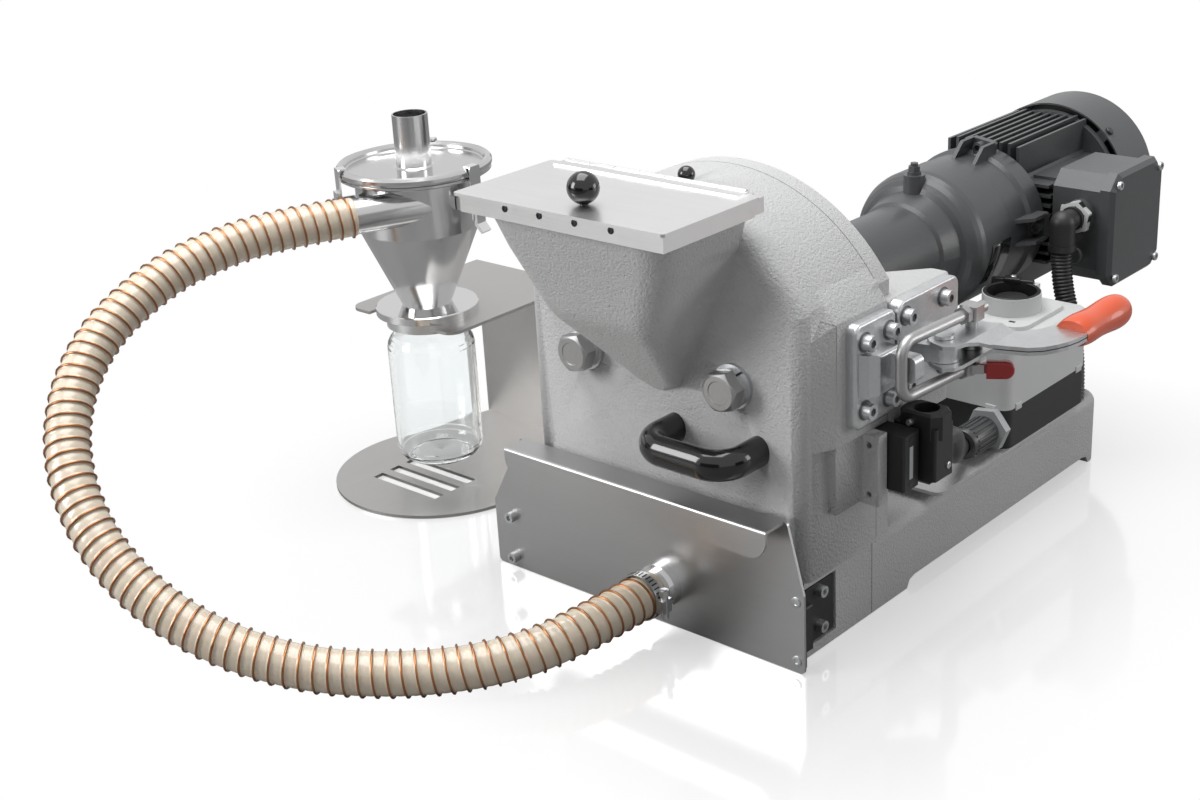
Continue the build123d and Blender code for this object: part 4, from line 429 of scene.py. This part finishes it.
def piece_from(bm, name, finish):
    bmesh.ops.recalc_face_normals(bm, faces=bm.faces)
    return finished(mesh_from(bm, name), name, finish)


def add_wall(piece, thickness, offset):
    """A wall on a skin: inwards for an offset of -1, outwards for 1."""
    wall = piece.modifiers.new("wall", "SOLIDIFY")
    wall.thickness = thickness * MM
    wall.offset = offset


def route_line(points, name):
    """Points of the smooth spline that follows a route, in metres."""
    curve = bpy.data.curves.new(name, "CURVE")
    curve.dimensions = "3D"
    spline = curve.splines.new("NURBS")
    spline.points.add(len(points) - 1)
    for point, place in zip(spline.points, points):
        point.co = (*(Vector(place) * MM), 1)
    spline.order_u = 3
    spline.use_endpoint_u = True
    spline.resolution_u = 24
    carrier = bpy.data.objects.new(name, curve)
    bpy.context.scene.collection.objects.link(carrier)
    line = bpy.data.meshes.new_from_object(carrier)
    dots = [vertex.co.copy() for vertex in line.vertices]
    bpy.data.meshes.remove(line)
    bpy.data.objects.remove(carrier)
    return dots


def evenly(dots, step):
    """The same line with its points a step apart, and the step that was used."""
    lengths = [0.0]
    for a, b in zip(dots, dots[1:]):
        lengths.append(lengths[-1] + (b - a).length)
    count = max(2, round(lengths[-1] / step))
    step = lengths[-1] / count
    spaced = []
    index = 0
    for n in range(count + 1):
        goal = min(n * step, lengths[-1])
        while index < len(dots) - 2 and lengths[index + 1] < goal:
            index += 1
        part = (goal - lengths[index]) / (lengths[index + 1] - lengths[index])
        spaced.append(dots[index].lerp(dots[index + 1], part))
    return spaced, step


def carried_frames(line):
    """A sideways and an upward direction at each point, with no twist between them."""
    frames = []
    ahead = (line[1] - line[0]).normalized()
    side = ahead.cross(Vector((0, 0, 1))).normalized()
    for n, here in enumerate(line):
        new_ahead = (line[min(n + 1, len(line) - 1)] - line[max(n - 1, 0)]).normalized()
        side = (side - new_ahead * side.dot(new_ahead)).normalized()
        frames.append((side, new_ahead.cross(side)))
    return frames


def mapped_grid(bm, rows, columns):
    """A new grid in the mesh: each of its points with its row and its column."""
    made = bmesh.ops.create_grid(bm, x_segments=rows - 1, y_segments=columns, size=0.5)
    return {vert: (round((vert.co.x + 0.5) * (rows - 1)), round((vert.co.y + 0.5) * columns))
            for vert in made["verts"]}


def swept_skin(line, around, radius_at):
    """A tube whose radius follows its place along the line and round it; the turns go to its map."""
    bm = bmesh.new()
    places = mapped_grid(bm, len(line), around)
    sheet = bm.loops.layers.uv.new("turns")
    frames = carried_frames(line)
    for face in bm.faces:
        for loop in face.loops:
            row, turn = places[loop.vert]
            loop[sheet].uv = radius_at(row, turn / around)[1], turn / around
    for vert, (row, turn) in places.items():
        side, up = frames[row]
        angle = math.tau * turn / around
        radius = radius_at(row, turn / around)[0]
        vert.co = line[row] + (side * math.cos(angle) + up * math.sin(angle)) * radius
    bmesh.ops.remove_doubles(bm, verts=bm.verts, dist=1e-6)
    return bm


def all_of(bm):
    return bm.verts[:] + bm.edges[:] + bm.faces[:]


def turned(bm, outline, place, ahead, around=32):
    """A form spun from (radius, height) points in mm about an axis; six steps make a hexagon."""
    there = set(bm.verts)
    widen = 1 / math.cos(math.pi / 6) if around == 6 else 1
    dots = [bm.verts.new((radius * widen, 0, height)) for radius, height in outline]
    edges = [bm.edges.new(pair) for pair in zip(dots, dots[1:])]
    bmesh.ops.spin(bm, geom=dots + edges, axis=(0, 0, 1), cent=(0, 0, 0), angle=math.tau,
                   steps=around, use_merge=True)
    made = [vert for vert in bm.verts if vert not in there]
    aim = Vector(ahead).to_track_quat("Z", "Y").to_matrix().to_4x4()
    matrix = Matrix.Diagonal((MM, MM, MM, 1)) @ Matrix.Translation(Vector(place)) @ aim
    bmesh.ops.transform(bm, matrix=matrix, verts=made)
    bmesh.ops.remove_doubles(bm, verts=made, dist=1e-7)


def ring(bm, inner, outer, height, place, ahead, around=32):
    outline = [(inner, 0), (outer, 0), (outer, height), (inner, height), (inner, 0)]
    turned(bm, outline, place, ahead, around)


def disc(bm, radius, low, high, place, ahead, around=32):
    turned(bm, [(0, low), (radius, low), (radius, high), (0, high)], place, ahead, around)


def about(place, degrees, axis):
    """A turn about an axis through a place in mm."""
    return Matrix.Translation(Vector(place) * MM) @ Matrix.Rotation(math.radians(degrees), 4, axis)


def box_form(bm, low, high, bevel=0.0, matrix=None):
    """A box between two corners in mm, with its edges rounded by the bevel."""
    low, high = Vector(low), Vector(high)
    made = bmesh.ops.create_cube(bm, size=1.0)["verts"]
    bmesh.ops.scale(bm, vec=(high - low) * MM, verts=made)
    bmesh.ops.translate(bm, vec=(low + high) / 2 * MM, verts=made)
    if bevel:
        edges = {edge for vert in made for edge in vert.link_edges}
        made = bmesh.ops.bevel(bm, geom=list(edges), offset=bevel * MM, segments=3, profile=0.5,
                               affect="EDGES", material=-1)["verts"]
    if matrix:
        bmesh.ops.transform(bm, matrix=matrix, verts=made)


def suction_hose():
    """Thin film over a copper spiral: a narrow ridge at the wire and a soft belly between turns."""
    line, step = evenly(route_line(HOSE_ROUTE, "hose_route"), HOSE_PITCH / HOSE_STEPS)
    ridge = HOSE_DIAMETER / 2 - 0.3 * MM

    def radius_at(row, share):
        turns = row * step / HOSE_PITCH - share
        phase = turns % 1.0
        crest = math.exp(-(min(phase, 1 - phase) / 0.10) ** 2)
        belly = math.sin(math.pi * phase) ** 1.5
        return ridge - FILM_SINK + FILM_CREST * crest + FILM_BELLY * belly, turns + TURNS_BEFORE

    skin = piece_from(swept_skin(line, 44, radius_at), "hose_film", "hose_skin")
    add_wall(skin, FILM_WALL, -1)
    wire = hose_wire(line, step, ridge)
    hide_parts("hose")


def hose_wire(line, step, radius):
    """The copper spiral, lying in the crest of the film."""
    frames = carried_frames(line)
    per_turn = 24
    count = int(len(line) * step / HOSE_PITCH * per_turn)
    dots = []
    for n in range(count):
        share = n / per_turn
        along = share * HOSE_PITCH / step
        row = min(int(along), len(line) - 2)
        centre = line[row].lerp(line[row + 1], min(along - row, 1))
        side, up = frames[row]
        angle = math.tau * share
        dots.append(centre + (side * math.cos(angle) + up * math.sin(angle)) * (radius - 0.05 * MM))
    curve = bpy.data.curves.new("hose_wire", "CURVE")
    curve.dimensions = "3D"
    spline = curve.splines.new("POLY")
    spline.points.add(len(dots) - 1)
    for point, place in zip(spline.points, dots):
        point.co = (*place, 1)
    curve.bevel_depth = HOSE_WIRE
    curve.bevel_resolution = 1
    curve.use_fill_caps = True
    carrier = bpy.data.objects.new("hose_wire_line", curve)
    bpy.context.scene.collection.objects.link(carrier)
    mesh = bpy.data.meshes.new_from_object(carrier)
    bpy.data.objects.remove(carrier)
    mesh.name = "hose_wire"
    return finished(mesh, "hose_wire", "copper_wire", 60)


def ribbed_conduit():
    """The motor lead's corrugated conduit."""
    line, step = evenly(route_line(CONDUIT_ROUTE, "conduit_route"), CONDUIT_PITCH / CONDUIT_STEPS)

    def radius_at(row, share):
        turns = row * step / CONDUIT_PITCH
        wave = 0.5 + 0.5 * math.cos(math.tau * turns)
        return CONDUIT_RADIUS + CONDUIT_RIB * wave ** 0.6, turns

    skin = piece_from(swept_skin(line, 32, radius_at), "conduit_skin", "conduit_black")
    add_wall(skin, CONDUIT_WALL, -1)
    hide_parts("conduit")


def switch_lead():
    """The safety switch's round lead to the control box."""
    line = evenly(route_line(CABLE_ROUTE, "switch_route"), 3 * MM)[0]
    tube = swept_skin(line, 20, lambda row, share: (CABLE_RADIUS, row))
    skin = piece_from(tube, "switch_lead", "conduit_black")
    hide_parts("switch_cable")


def screw_heads(name, finish, places, ahead, radius, height, socket):
    """Round screw heads with hexagon sockets, standing on their places."""
    bm = bmesh.new()
    rim = [(radius, 0), (radius, height * 0.75), (radius * 0.86, height), (socket * 1.16, height),
           (socket * 1.16, height * 0.9)]
    cup = [(socket * 1.1, height * 0.9), (socket, height * 0.9), (socket, height * 0.3), (0, height * 0.25)]
    for place in places:
        turned(bm, rim, place, ahead, 24)
        turned(bm, cup, place, ahead, 6)
    piece_from(bm, name, finish)


def rim_screws():
    places = [(x, -90.2, 374.5) for x in (-53.3, -17.7, 17.7, 53.3)]
    screw_heads("rim_screws", "black_plastic", places, (0, -1, 0), 2.7, 0.7, 1.3)


def panel_screws():
    places = [(145.4, 0, 62.8), (145.4, 0, 10.1)]
    screw_heads("panel_screws", "zinc_steel", places, (0, -1, 0), 4.6, 1.0, 2.1)


def screw_shadows():
    """Painted shadow rings under the clamp's socket screws, and painted shade down in their sockets."""
    rings = bmesh.new()
    sockets = bmesh.new()
    for y, z in CATCH_SCREWS + CLAMP_SCREWS:
        # a thin dark ring of painted shadow under each screw head, and a black hexagon of painted shade in
        # its socket
        ring(rings, 6.5, 8.2, 0.5, (CATCH_FACE, y, z), (1, 0, 0))
        disc(sockets, 3.2, -0.6, 0, (SCREW_SOCKET_X, y, z), (1, 0, 0), 6)
    piece_from(rings, "screw_shadows", "dark_steel")
    piece_from(sockets, "socket_shade", "conduit_black")


def collar_liner():
    """The stop button's collar is lined with black rubber, and a clip stands at its rear."""
    bm = bmesh.new()
    outline = [(24.0, -12), (23.0, -12), (23.0, 0.6), (24.0, 1.0), (25.6, 1.0), (26.2, 0.4), (26.2, -0.2),
               (24.0, -0.2), (24.0, -12)]
    turned(bm, outline, (*BUTTON_PLACE, 196), (0, 0, 1), 64)
    disc(bm, 23.5, 0, 0.4, (*BUTTON_PLACE, 181.2), (0, 0, 1), 48)
    piece_from(bm, "collar_liner", "black_plastic")
    bm = bmesh.new()
    turn = about((*BUTTON_PLACE, 0), 14, "Z")
    box_form(bm, (-26, 22, 186), (14, 27.5, 199.5), 1.2, turn)
    box_form(bm, (-14, 19.5, 196.5), (2, 29, 201), 1.0, turn)
    piece_from(bm, "collar_clip", "black_plastic")
    screw_heads("clip_screw", "zinc_steel", [(88, 424.5, 201)], (0, 0, 1), 3.0, 1.4, 1.3)


def box_marks():
    """Black marks of painted shade for the slots, a raised frame and latch tabs on the control box."""
    # thin black boxes of painted shade where the cover's slots are
    bm = bmesh.new()
    for x, y in ((92, 380.5), (119, 369.5)):
        box_form(bm, (x - 3, y - 1.5, 178.7), (x + 3, y + 1.5, 179.3), 0.2)
    piece_from(bm, "cover_slot_shade", "black_plastic")
    bm = bmesh.new()
    for y in (330, 440):
        box_form(bm, (149.6, y - 5, 114.4), (151.2, y + 5, 121), 0.5)
    box_form(bm, (128, 310.8, 114.4), (138, 312.4, 121), 0.5)
    box_form(bm, (66, 318, 174.6), (140, 352, 176.2), 1.2)
    piece_from(bm, "box_tabs", "grey_plastic")


def switch_marks():
    """Plain pale strips on the key unit, black discs of painted shade where its holes are, and the switch's
    screws.
    """
    bm = bmesh.new()
    box_form(bm, (157, 95.1, 139), (162, 95.6, 167), 0.3)
    box_form(bm, (181.9, 103, 139), (182.4, 108, 167), 0.3)
    piece_from(bm, "key_strips", "gland_plastic")
    # black discs of painted shade where the key unit's holes are
    bm = bmesh.new()
    for z in (134.5, 172.5):
        disc(bm, 2.6, 0.3, 0, (159.5, 95.5, z), (0, -1, 0))
        disc(bm, 2.6, 0.3, 0, (182, 105.5, z), (1, 0, 0))
    piece_from(bm, "key_hole_shade", "conduit_black")
    screw_heads("switch_screws", "zinc_steel", [(195, 139.5, 142)], (1, 0, 0), 3.0, 1.2, 1.4)
    screw_heads("head_screw", "zinc_steel", [(172, 120.2, 181)], (0, -1, 0), 2.8, 4.0, 1.3)


def lead_gland():
    """The switch lead's elbow, and the ribbed gland that it goes into."""
    line = evenly(route_line(ELBOW_ROUTE, "elbow_route"), 2 * MM)[0]
    tube = swept_skin(line, 28, lambda row, share: (ELBOW_RADIUS, row))
    piece_from(tube, "lead_elbow", "dark_plastic")
    bm = bmesh.new()
    x, z = GLAND_PLACE
    barrel = [(8.6, 0), (13.2, 0), (13.8, 1), (13.8, 38.6), (13.2, 39.6), (8.6, 39.6), (8.6, 0)]
    turned(bm, barrel, (x, 264, z), (0, 1, 0), 40)
    ribs = 20
    for n in range(ribs):
        box_form(bm, (-0.9, 270, 13.2), (0.9, 300, 14.9), 0.3, about((x, 0, z), 360 * n / ribs, "Y"))
    piece_from(bm, "gland_ribs", "dark_plastic")


def housing_plate():
    """A blank black plate on the gear housing."""
    bm = bmesh.new()
    start = math.radians(PLATE_START)
    x, z = HOUSING_RADIUS * math.sin(start), MOTOR_AXIS_Z + HOUSING_RADIUS * math.cos(start)
    ends = [bm.verts.new(Vector((x, y, z)) * MM) for y in (418, 450)]
    steps = 12
    bmesh.ops.spin(bm, geom=ends + [bm.edges.new(ends)], axis=(0, 1, 0), cent=(0, 0, MOTOR_AXIS_Z * MM),
                   angle=math.radians(PLATE_SWEEP), steps=steps, dvec=(0, -10 / steps * MM, 0))
    add_wall(piece_from(bm, "housing_plate", "gloss_black"), 0.5, 1)


def motor_fittings():
    """Screws, a nut and a plug on the terminal box, the fan cover's screws, and a black ring of painted
    shade inside the fan cover.
    """
    places = [(142, y, z) for y in (520, 602) for z in (273, 182)]
    screw_heads("terminal_screws", "zinc_steel", places, (1, 0, 0), 4.2, 3.0, 2.0)
    axis = Vector((0, MOTOR_END, MOTOR_AXIS_Z))
    bm = bmesh.new()
    for angle in (45, 135, 225, 315):
        turn = math.radians(angle)
        out = Vector((math.sin(turn), 0, math.cos(turn)))
        turned(bm, [(4.2, 0), (4.2, 2.2), (3.4, 3), (0, 3)], axis + out * FAN_COVER_RADIUS, out, 20)
    piece_from(bm, "cover_screws", "conduit_black")
    bm = bmesh.new()
    turned(bm, [(14.7, 0), (14.7, 6.2), (12.6, 6.6), (10.6, 6.6)], (0, ELBOW_PLACE[1], 0), (0, -1, 0), 6)
    turn = about((ELBOW_PLACE[0], 0, ELBOW_PLACE[2]), ELBOW_NUT_TURN, "Y")
    bmesh.ops.transform(bm, matrix=turn, verts=bm.verts)
    piece_from(bm, "elbow_nut", "pale_plastic")
    bm = bmesh.new()
    turned(bm, [(0, 4), (8, 4), (9, 3), (9, 0)], (ELBOW_PLACE[0], 503.6, 205), (0, -1, 0))
    piece_from(bm, "round_plug", "motor_paint")
    # a black ring of painted shade inside the fan cover
    bm = bmesh.new()
    ring(bm, 57, 81, 0.6, axis + Vector((0, 2, 0)), (0, 1, 0), 64)
    piece_from(bm, "cover_shade", "conduit_black")


def slope_plane(sink=0.0):
    """A point of the flat slope beside the door's round top, sunk by some mm, and the way it faces."""
    along = Vector((FLANK_END[0] - FLANK_START[0], 0, FLANK_END[1] - FLANK_START[1]))
    out = Vector((-along.z, 0, along.x)).normalized()
    start = Vector((FLANK_START[0], 0, FLANK_START[1])) - out * sink
    return start * MM, out


def cut_by(bm, plane, keep_outer=False):
    """One side of a plane taken away, and the cut closed."""
    place, normal = plane
    bmesh.ops.bisect_plane(bm, geom=all_of(bm), plane_co=place, plane_no=normal,
                           clear_outer=not keep_outer, clear_inner=keep_outer)
    bmesh.ops.holes_fill(bm, edges=bm.edges)


def door_flank():
    """The flat slope that runs from the door's round top down to the catch's pad."""
    bm = bmesh.new()
    box_form(bm, FLANK_LOW, (FLANK_END[0], SEAM, FLANK_TOP))
    slope = slope_plane()
    corner = Vector((FLANK_END[0], FLANK_FRONT, FLANK_END[1])) * MM
    inside = (slope[0], (-0.86, 0, 0.5))
    facet = (corner, (0.633, -0.594, 0.496))
    pad_front = (corner, (0.893, -0.451, 0))
    for plane in (slope, inside, facet, pad_front):
        cut_by(bm, plane)
    bmesh.ops.bevel(bm, geom=bm.edges[:], offset=0.8 * MM, segments=2, profile=0.5, affect="EDGES",
                    material=-1)
    piece_from(bm, "door_flank", "casting_paint")


def door_skin():
    """The door as it is cast, with its catch pad cut down to the flat slope."""
    bm = bmesh.new()
    box_form(bm, PAD_LOW, PAD_HIGH)
    cut_by(bm, slope_plane(PAD_SINK), keep_outer=True)
    bmesh.ops.recalc_face_normals(bm, faces=bm.faces)
    wedge = bpy.data.objects.new("pad_wedge", mesh_from(bm, "pad_wedge"))
    bpy.context.scene.collection.objects.link(wedge)
    bm = bmesh.new()
    bm.from_mesh(NODES["door"].data)
    bmesh.ops.remove_doubles(bm, verts=bm.verts, dist=1e-6)
    skin = piece_from(bm, "door_skin", "casting_paint")
    cut = skin.modifiers.new("cut", "BOOLEAN")
    cut.operation = "DIFFERENCE"
    cut.object = wedge
    made = bpy.data.meshes.new_from_object(skin.evaluated_get(bpy.context.evaluated_depsgraph_get()))
    skin.modifiers.clear()
    skin.data = made
    shaded(made, 30)
    bpy.data.objects.remove(wedge)
    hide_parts("door")


def seam_lines():
    """The dark line where the door and the front block meet the frame."""
    bm = bmesh.new()
    across = (SEAM - SEAM_LINE, SEAM + SEAM_LINE)
    for x in (ARCH_HALF, -ARCH_HALF):
        foot = [bm.verts.new(Vector((x, y, SEAM_FOOT)) * MM) for y in across]
        made = bmesh.ops.extrude_edge_only(bm, edges=[bm.edges.new(foot)])["geom"]
        top = [item for item in made if isinstance(item, bmesh.types.BMVert)]
        bmesh.ops.translate(bm, vec=(0, 0, SEAM_HEIGHT * MM), verts=top)
    angle = math.radians(ARCH_ANGLE)
    x, z = ARCH_RADIUS * math.sin(angle), ARCH_AXIS_Z + ARCH_RADIUS * math.cos(angle)
    ends = [bm.verts.new(Vector((x, y, z)) * MM) for y in across]
    bmesh.ops.spin(bm, geom=ends + [bm.edges.new(ends)], axis=(0, 1, 0), cent=(0, 0, ARCH_AXIS_Z * MM),
                   angle=-2 * angle, steps=2 * ARCH_ANGLE)
    box_form(bm, (138.6, SEAM - 0.3, 1), (139.1, SEAM + 0.3, 68))
    piece_from(bm, "seam_lines", "conduit_black")


def clamp_band():
    """Black marks of painted shade for the hose clamp's slots, and the hexagon head of its screw."""
    # thin black boxes of painted shade where the band's slots are
    bm = bmesh.new()
    x, z = NOZZLE_PLACE
    slots = 34
    for n in range(slots):
        box_form(bm, (-0.6, -30.5, 20.4), (0.6, -24.5, 20.75), 0.0, about((x, 0, z), 360 * n / slots, "Y"))
    piece_from(bm, "band_slot_shade", "conduit_black")
    bm = bmesh.new()
    turned(bm, [(3.9, 0), (3.9, 4.5), (2.6, 5.2), (0, 5.2)], (33.3, -27.5, 46), (0, 0, 1), 6)
    piece_from(bm, "band_screw", "zinc_steel")


def dress_cad():
    """Every CAD node gets the finish of its slot in the record, or a closer one."""
    special = {"stand": "stand_steel", "clamp_base": "rough_zinc", "door_catch": "rough_zinc",
               "clamp_hoop": "satin_steel", "disc_bolts": "satin_steel", "cyclone_body": "cyclone_steel",
               "cyclone_lid": "cyclone_steel"}
    for part in frame["record"]["subparts"]:
        node = part["node"]
        dress(NODES[node], special.get(node, part["material_slot"]))


def aim_camera():
    heading = math.radians(CAMERA_HEADING)
    down = math.radians(CAMERA_DOWN)
    roll = math.radians(CAMERA_ROLL)
    level_ahead = Vector((-math.sin(heading), math.cos(heading), 0))
    ahead = level_ahead * math.cos(down) - Vector((0, 0, math.sin(down)))
    level = Vector((math.cos(heading), math.sin(heading), 0))
    up = level.cross(ahead)
    right = level * math.cos(roll) + up * math.sin(roll)
    up = up * math.cos(roll) - level * math.sin(roll)
    data = bpy.data.cameras.new("camera")
    data.lens = CAMERA_LENS
    data.sensor_width = CAMERA_FILM
    data.clip_start = 0.01
    camera = bpy.data.objects.new("camera", data)
    bpy.context.scene.collection.objects.link(camera)
    camera.matrix_world = Matrix((
        (right.x, up.x, -ahead.x, CAMERA_PLACE.x),
        (right.y, up.y, -ahead.y, CAMERA_PLACE.y),
        (right.z, up.z, -ahead.z, CAMERA_PLACE.z),
        (0, 0, 0, 1)))
    bpy.context.scene.camera = camera


def facing_middle(place):
    return (Vector(STUDIO_MIDDLE) - Vector(place)).to_track_quat("-Z", "Y").to_euler()


def soft_lamp(name, place, size, power):
    data = bpy.data.lights.new(name, "AREA")
    data.shape = "RECTANGLE"
    data.size = size[0]
    data.size_y = size[1]
    data.energy = power
    lamp = bpy.data.objects.new(name, data)
    bpy.context.scene.collection.objects.link(lamp)
    lamp.location = place
    lamp.rotation_euler = facing_middle(place)


def white_world():
    """White to the camera, softer in mirrors, and a low light on matt surfaces."""
    world = bpy.data.worlds.new("studio")
    bpy.context.scene.world = world
    world.use_nodes = True
    tree = world.node_tree
    light = tree.nodes["Background"]
    light.inputs["Color"].default_value = (1, 1, 1, 1)
    light.inputs["Strength"].default_value = SKY_LIGHT
    seen = tree.nodes.new("ShaderNodeBackground")
    seen.inputs["Color"].default_value = (1, 1, 1, 1)
    rays = tree.nodes.new("ShaderNodeLightPath")
    power = tree.nodes.new("ShaderNodeMath")
    power.operation = "MULTIPLY_ADD"
    power.inputs[1].default_value = 1.0 - MIRRORED_LIGHT
    power.inputs[2].default_value = MIRRORED_LIGHT
    tree.links.new(rays.outputs["Is Camera Ray"], power.inputs[0])
    tree.links.new(power.outputs[0], seen.inputs["Strength"])
    choice = tree.nodes.new("ShaderNodeMixShader")
    tree.links.new(rays.outputs["Is Diffuse Ray"], choice.inputs["Fac"])
    tree.links.new(seen.outputs[0], choice.inputs[1])
    tree.links.new(light.outputs[0], choice.inputs[2])
    tree.links.new(choice.outputs[0], tree.nodes["World Output"].inputs["Surface"])


def floor_near(finish):
    """1 on the floor at the mill and the stand, down to 0 a short way off."""
    here = finish.place()
    across, ahead = (finish.node("SeparateXYZ", {}, {"Vector": here}, output=axis) for axis in (0, 1))
    past_x = ((across - MILL_MIDDLE[0]).size() - MILL_HALF[0]).at_least(0.0)
    past_y = ((ahead - MILL_MIDDLE[1]).size() - MILL_HALF[1]).at_least(0.0)
    mill = (past_x * past_x + past_y * past_y) ** 0.5
    side, deep = across - STAND_MIDDLE[0], ahead - STAND_MIDDLE[1]
    stand = (side * side + deep * deep) ** 0.5 - STAND_RADIUS
    return (1.0 - mill / MILL_FADE).clamped().at_least((1.0 - stand / STAND_FADE).clamped())


def stage_sheet(name, width, depth, material):
    """A flat rectangle of the studio, which isn't part of the object."""
    bm = bmesh.new()
    bmesh.ops.create_grid(bm, x_segments=1, y_segments=1, size=0.5)
    bmesh.ops.scale(bm, vec=(width, depth, 1), verts=bm.verts)
    sheet = bpy.data.objects.new(name, mesh_from(bm, name))
    bpy.context.scene.collection.objects.link(sheet)
    sheet.data.materials.append(material)
    return sheet


def studio_floor():
    """A white floor that still shows the object's shade and a faint mirror image near it."""
    finish = Finish("floor_white", (0.3, 0.3, 0.3), 0.5)
    seen = (finish.node("LightPath", output="Is Camera Ray")
            + finish.node("LightPath", output="Is Transmission Ray")).clamped()
    near = floor_near(finish)
    finish.set("Base Color", finish.blend(seen, FLOOR_BOUNCE, FLOOR_WHITE))
    glow = finish.node("Emission", {}, {"Color": (1, 1, 1, 1), "Strength": 1.0})
    mirror = finish.node("BsdfAnisotropic", {}, {"Color": (1, 1, 1, 1), "Roughness": 0.08})
    bright = finish.node("MixShader", {}, {"Fac": FLOOR_MIRROR * near, 1: glow, 2: mirror})
    shade = Value(finish, finish.shader.outputs[0])
    lit = (1.0 - FLOOR_SHADE * near) * seen
    mixed = finish.node("MixShader", {}, {"Fac": lit, 1: shade, 2: bright})
    finish.tree.links.new(mixed.socket, finish.output.inputs["Surface"])
    floor = stage_sheet("floor", FLOOR_SIDE, FLOOR_SIDE, finish.material)
    floor.location.z = -0.5 * MM


def dark_card(name, place, width, depth):
    """A dark studio card that only shows as a reflection in metal and gloss."""
    cloth = Finish(name + "_cloth", (0.04, 0.04, 0.04), 0.9)
    card = stage_sheet(name, width, depth, cloth.material)
    card.location = place
    card.rotation_euler = facing_middle(place)
    card.visible_camera = False
    card.visible_diffuse = False
    card.visible_transmission = False
    card.visible_shadow = False


def studio():
    bpy.context.scene.view_settings.view_transform = "Standard"
    white_world()
    studio_floor()
    soft_lamp("top_light", (-0.3, 0.1, 2.4), (2.4, 1.8), 60)
    soft_lamp("front_light", (-1.5, -2.0, 1.2), (1.0, 1.4), 38)
    soft_lamp("right_light", (1.7, 1.4, 0.6), (0.9, 0.8), 8)
    dark_card("card_front", (0.6, -2.6, 0.4), 2.6, 1.0)
    dark_card("card_left", (-2.2, -1.2, 0.4), 1.0, 1.0)
    dark_card("card_right", (2.7, 0.2, 0.3), 1.2, 0.8)


aim_camera()
suction_hose()
ribbed_conduit()
switch_lead()
dress_cad()
rim_screws()
panel_screws()
screw_shadows()
collar_liner()
box_marks()
switch_marks()
lead_gland()
housing_plate()
motor_fittings()
clamp_band()
door_flank()
door_skin()
seam_lines()
studio()
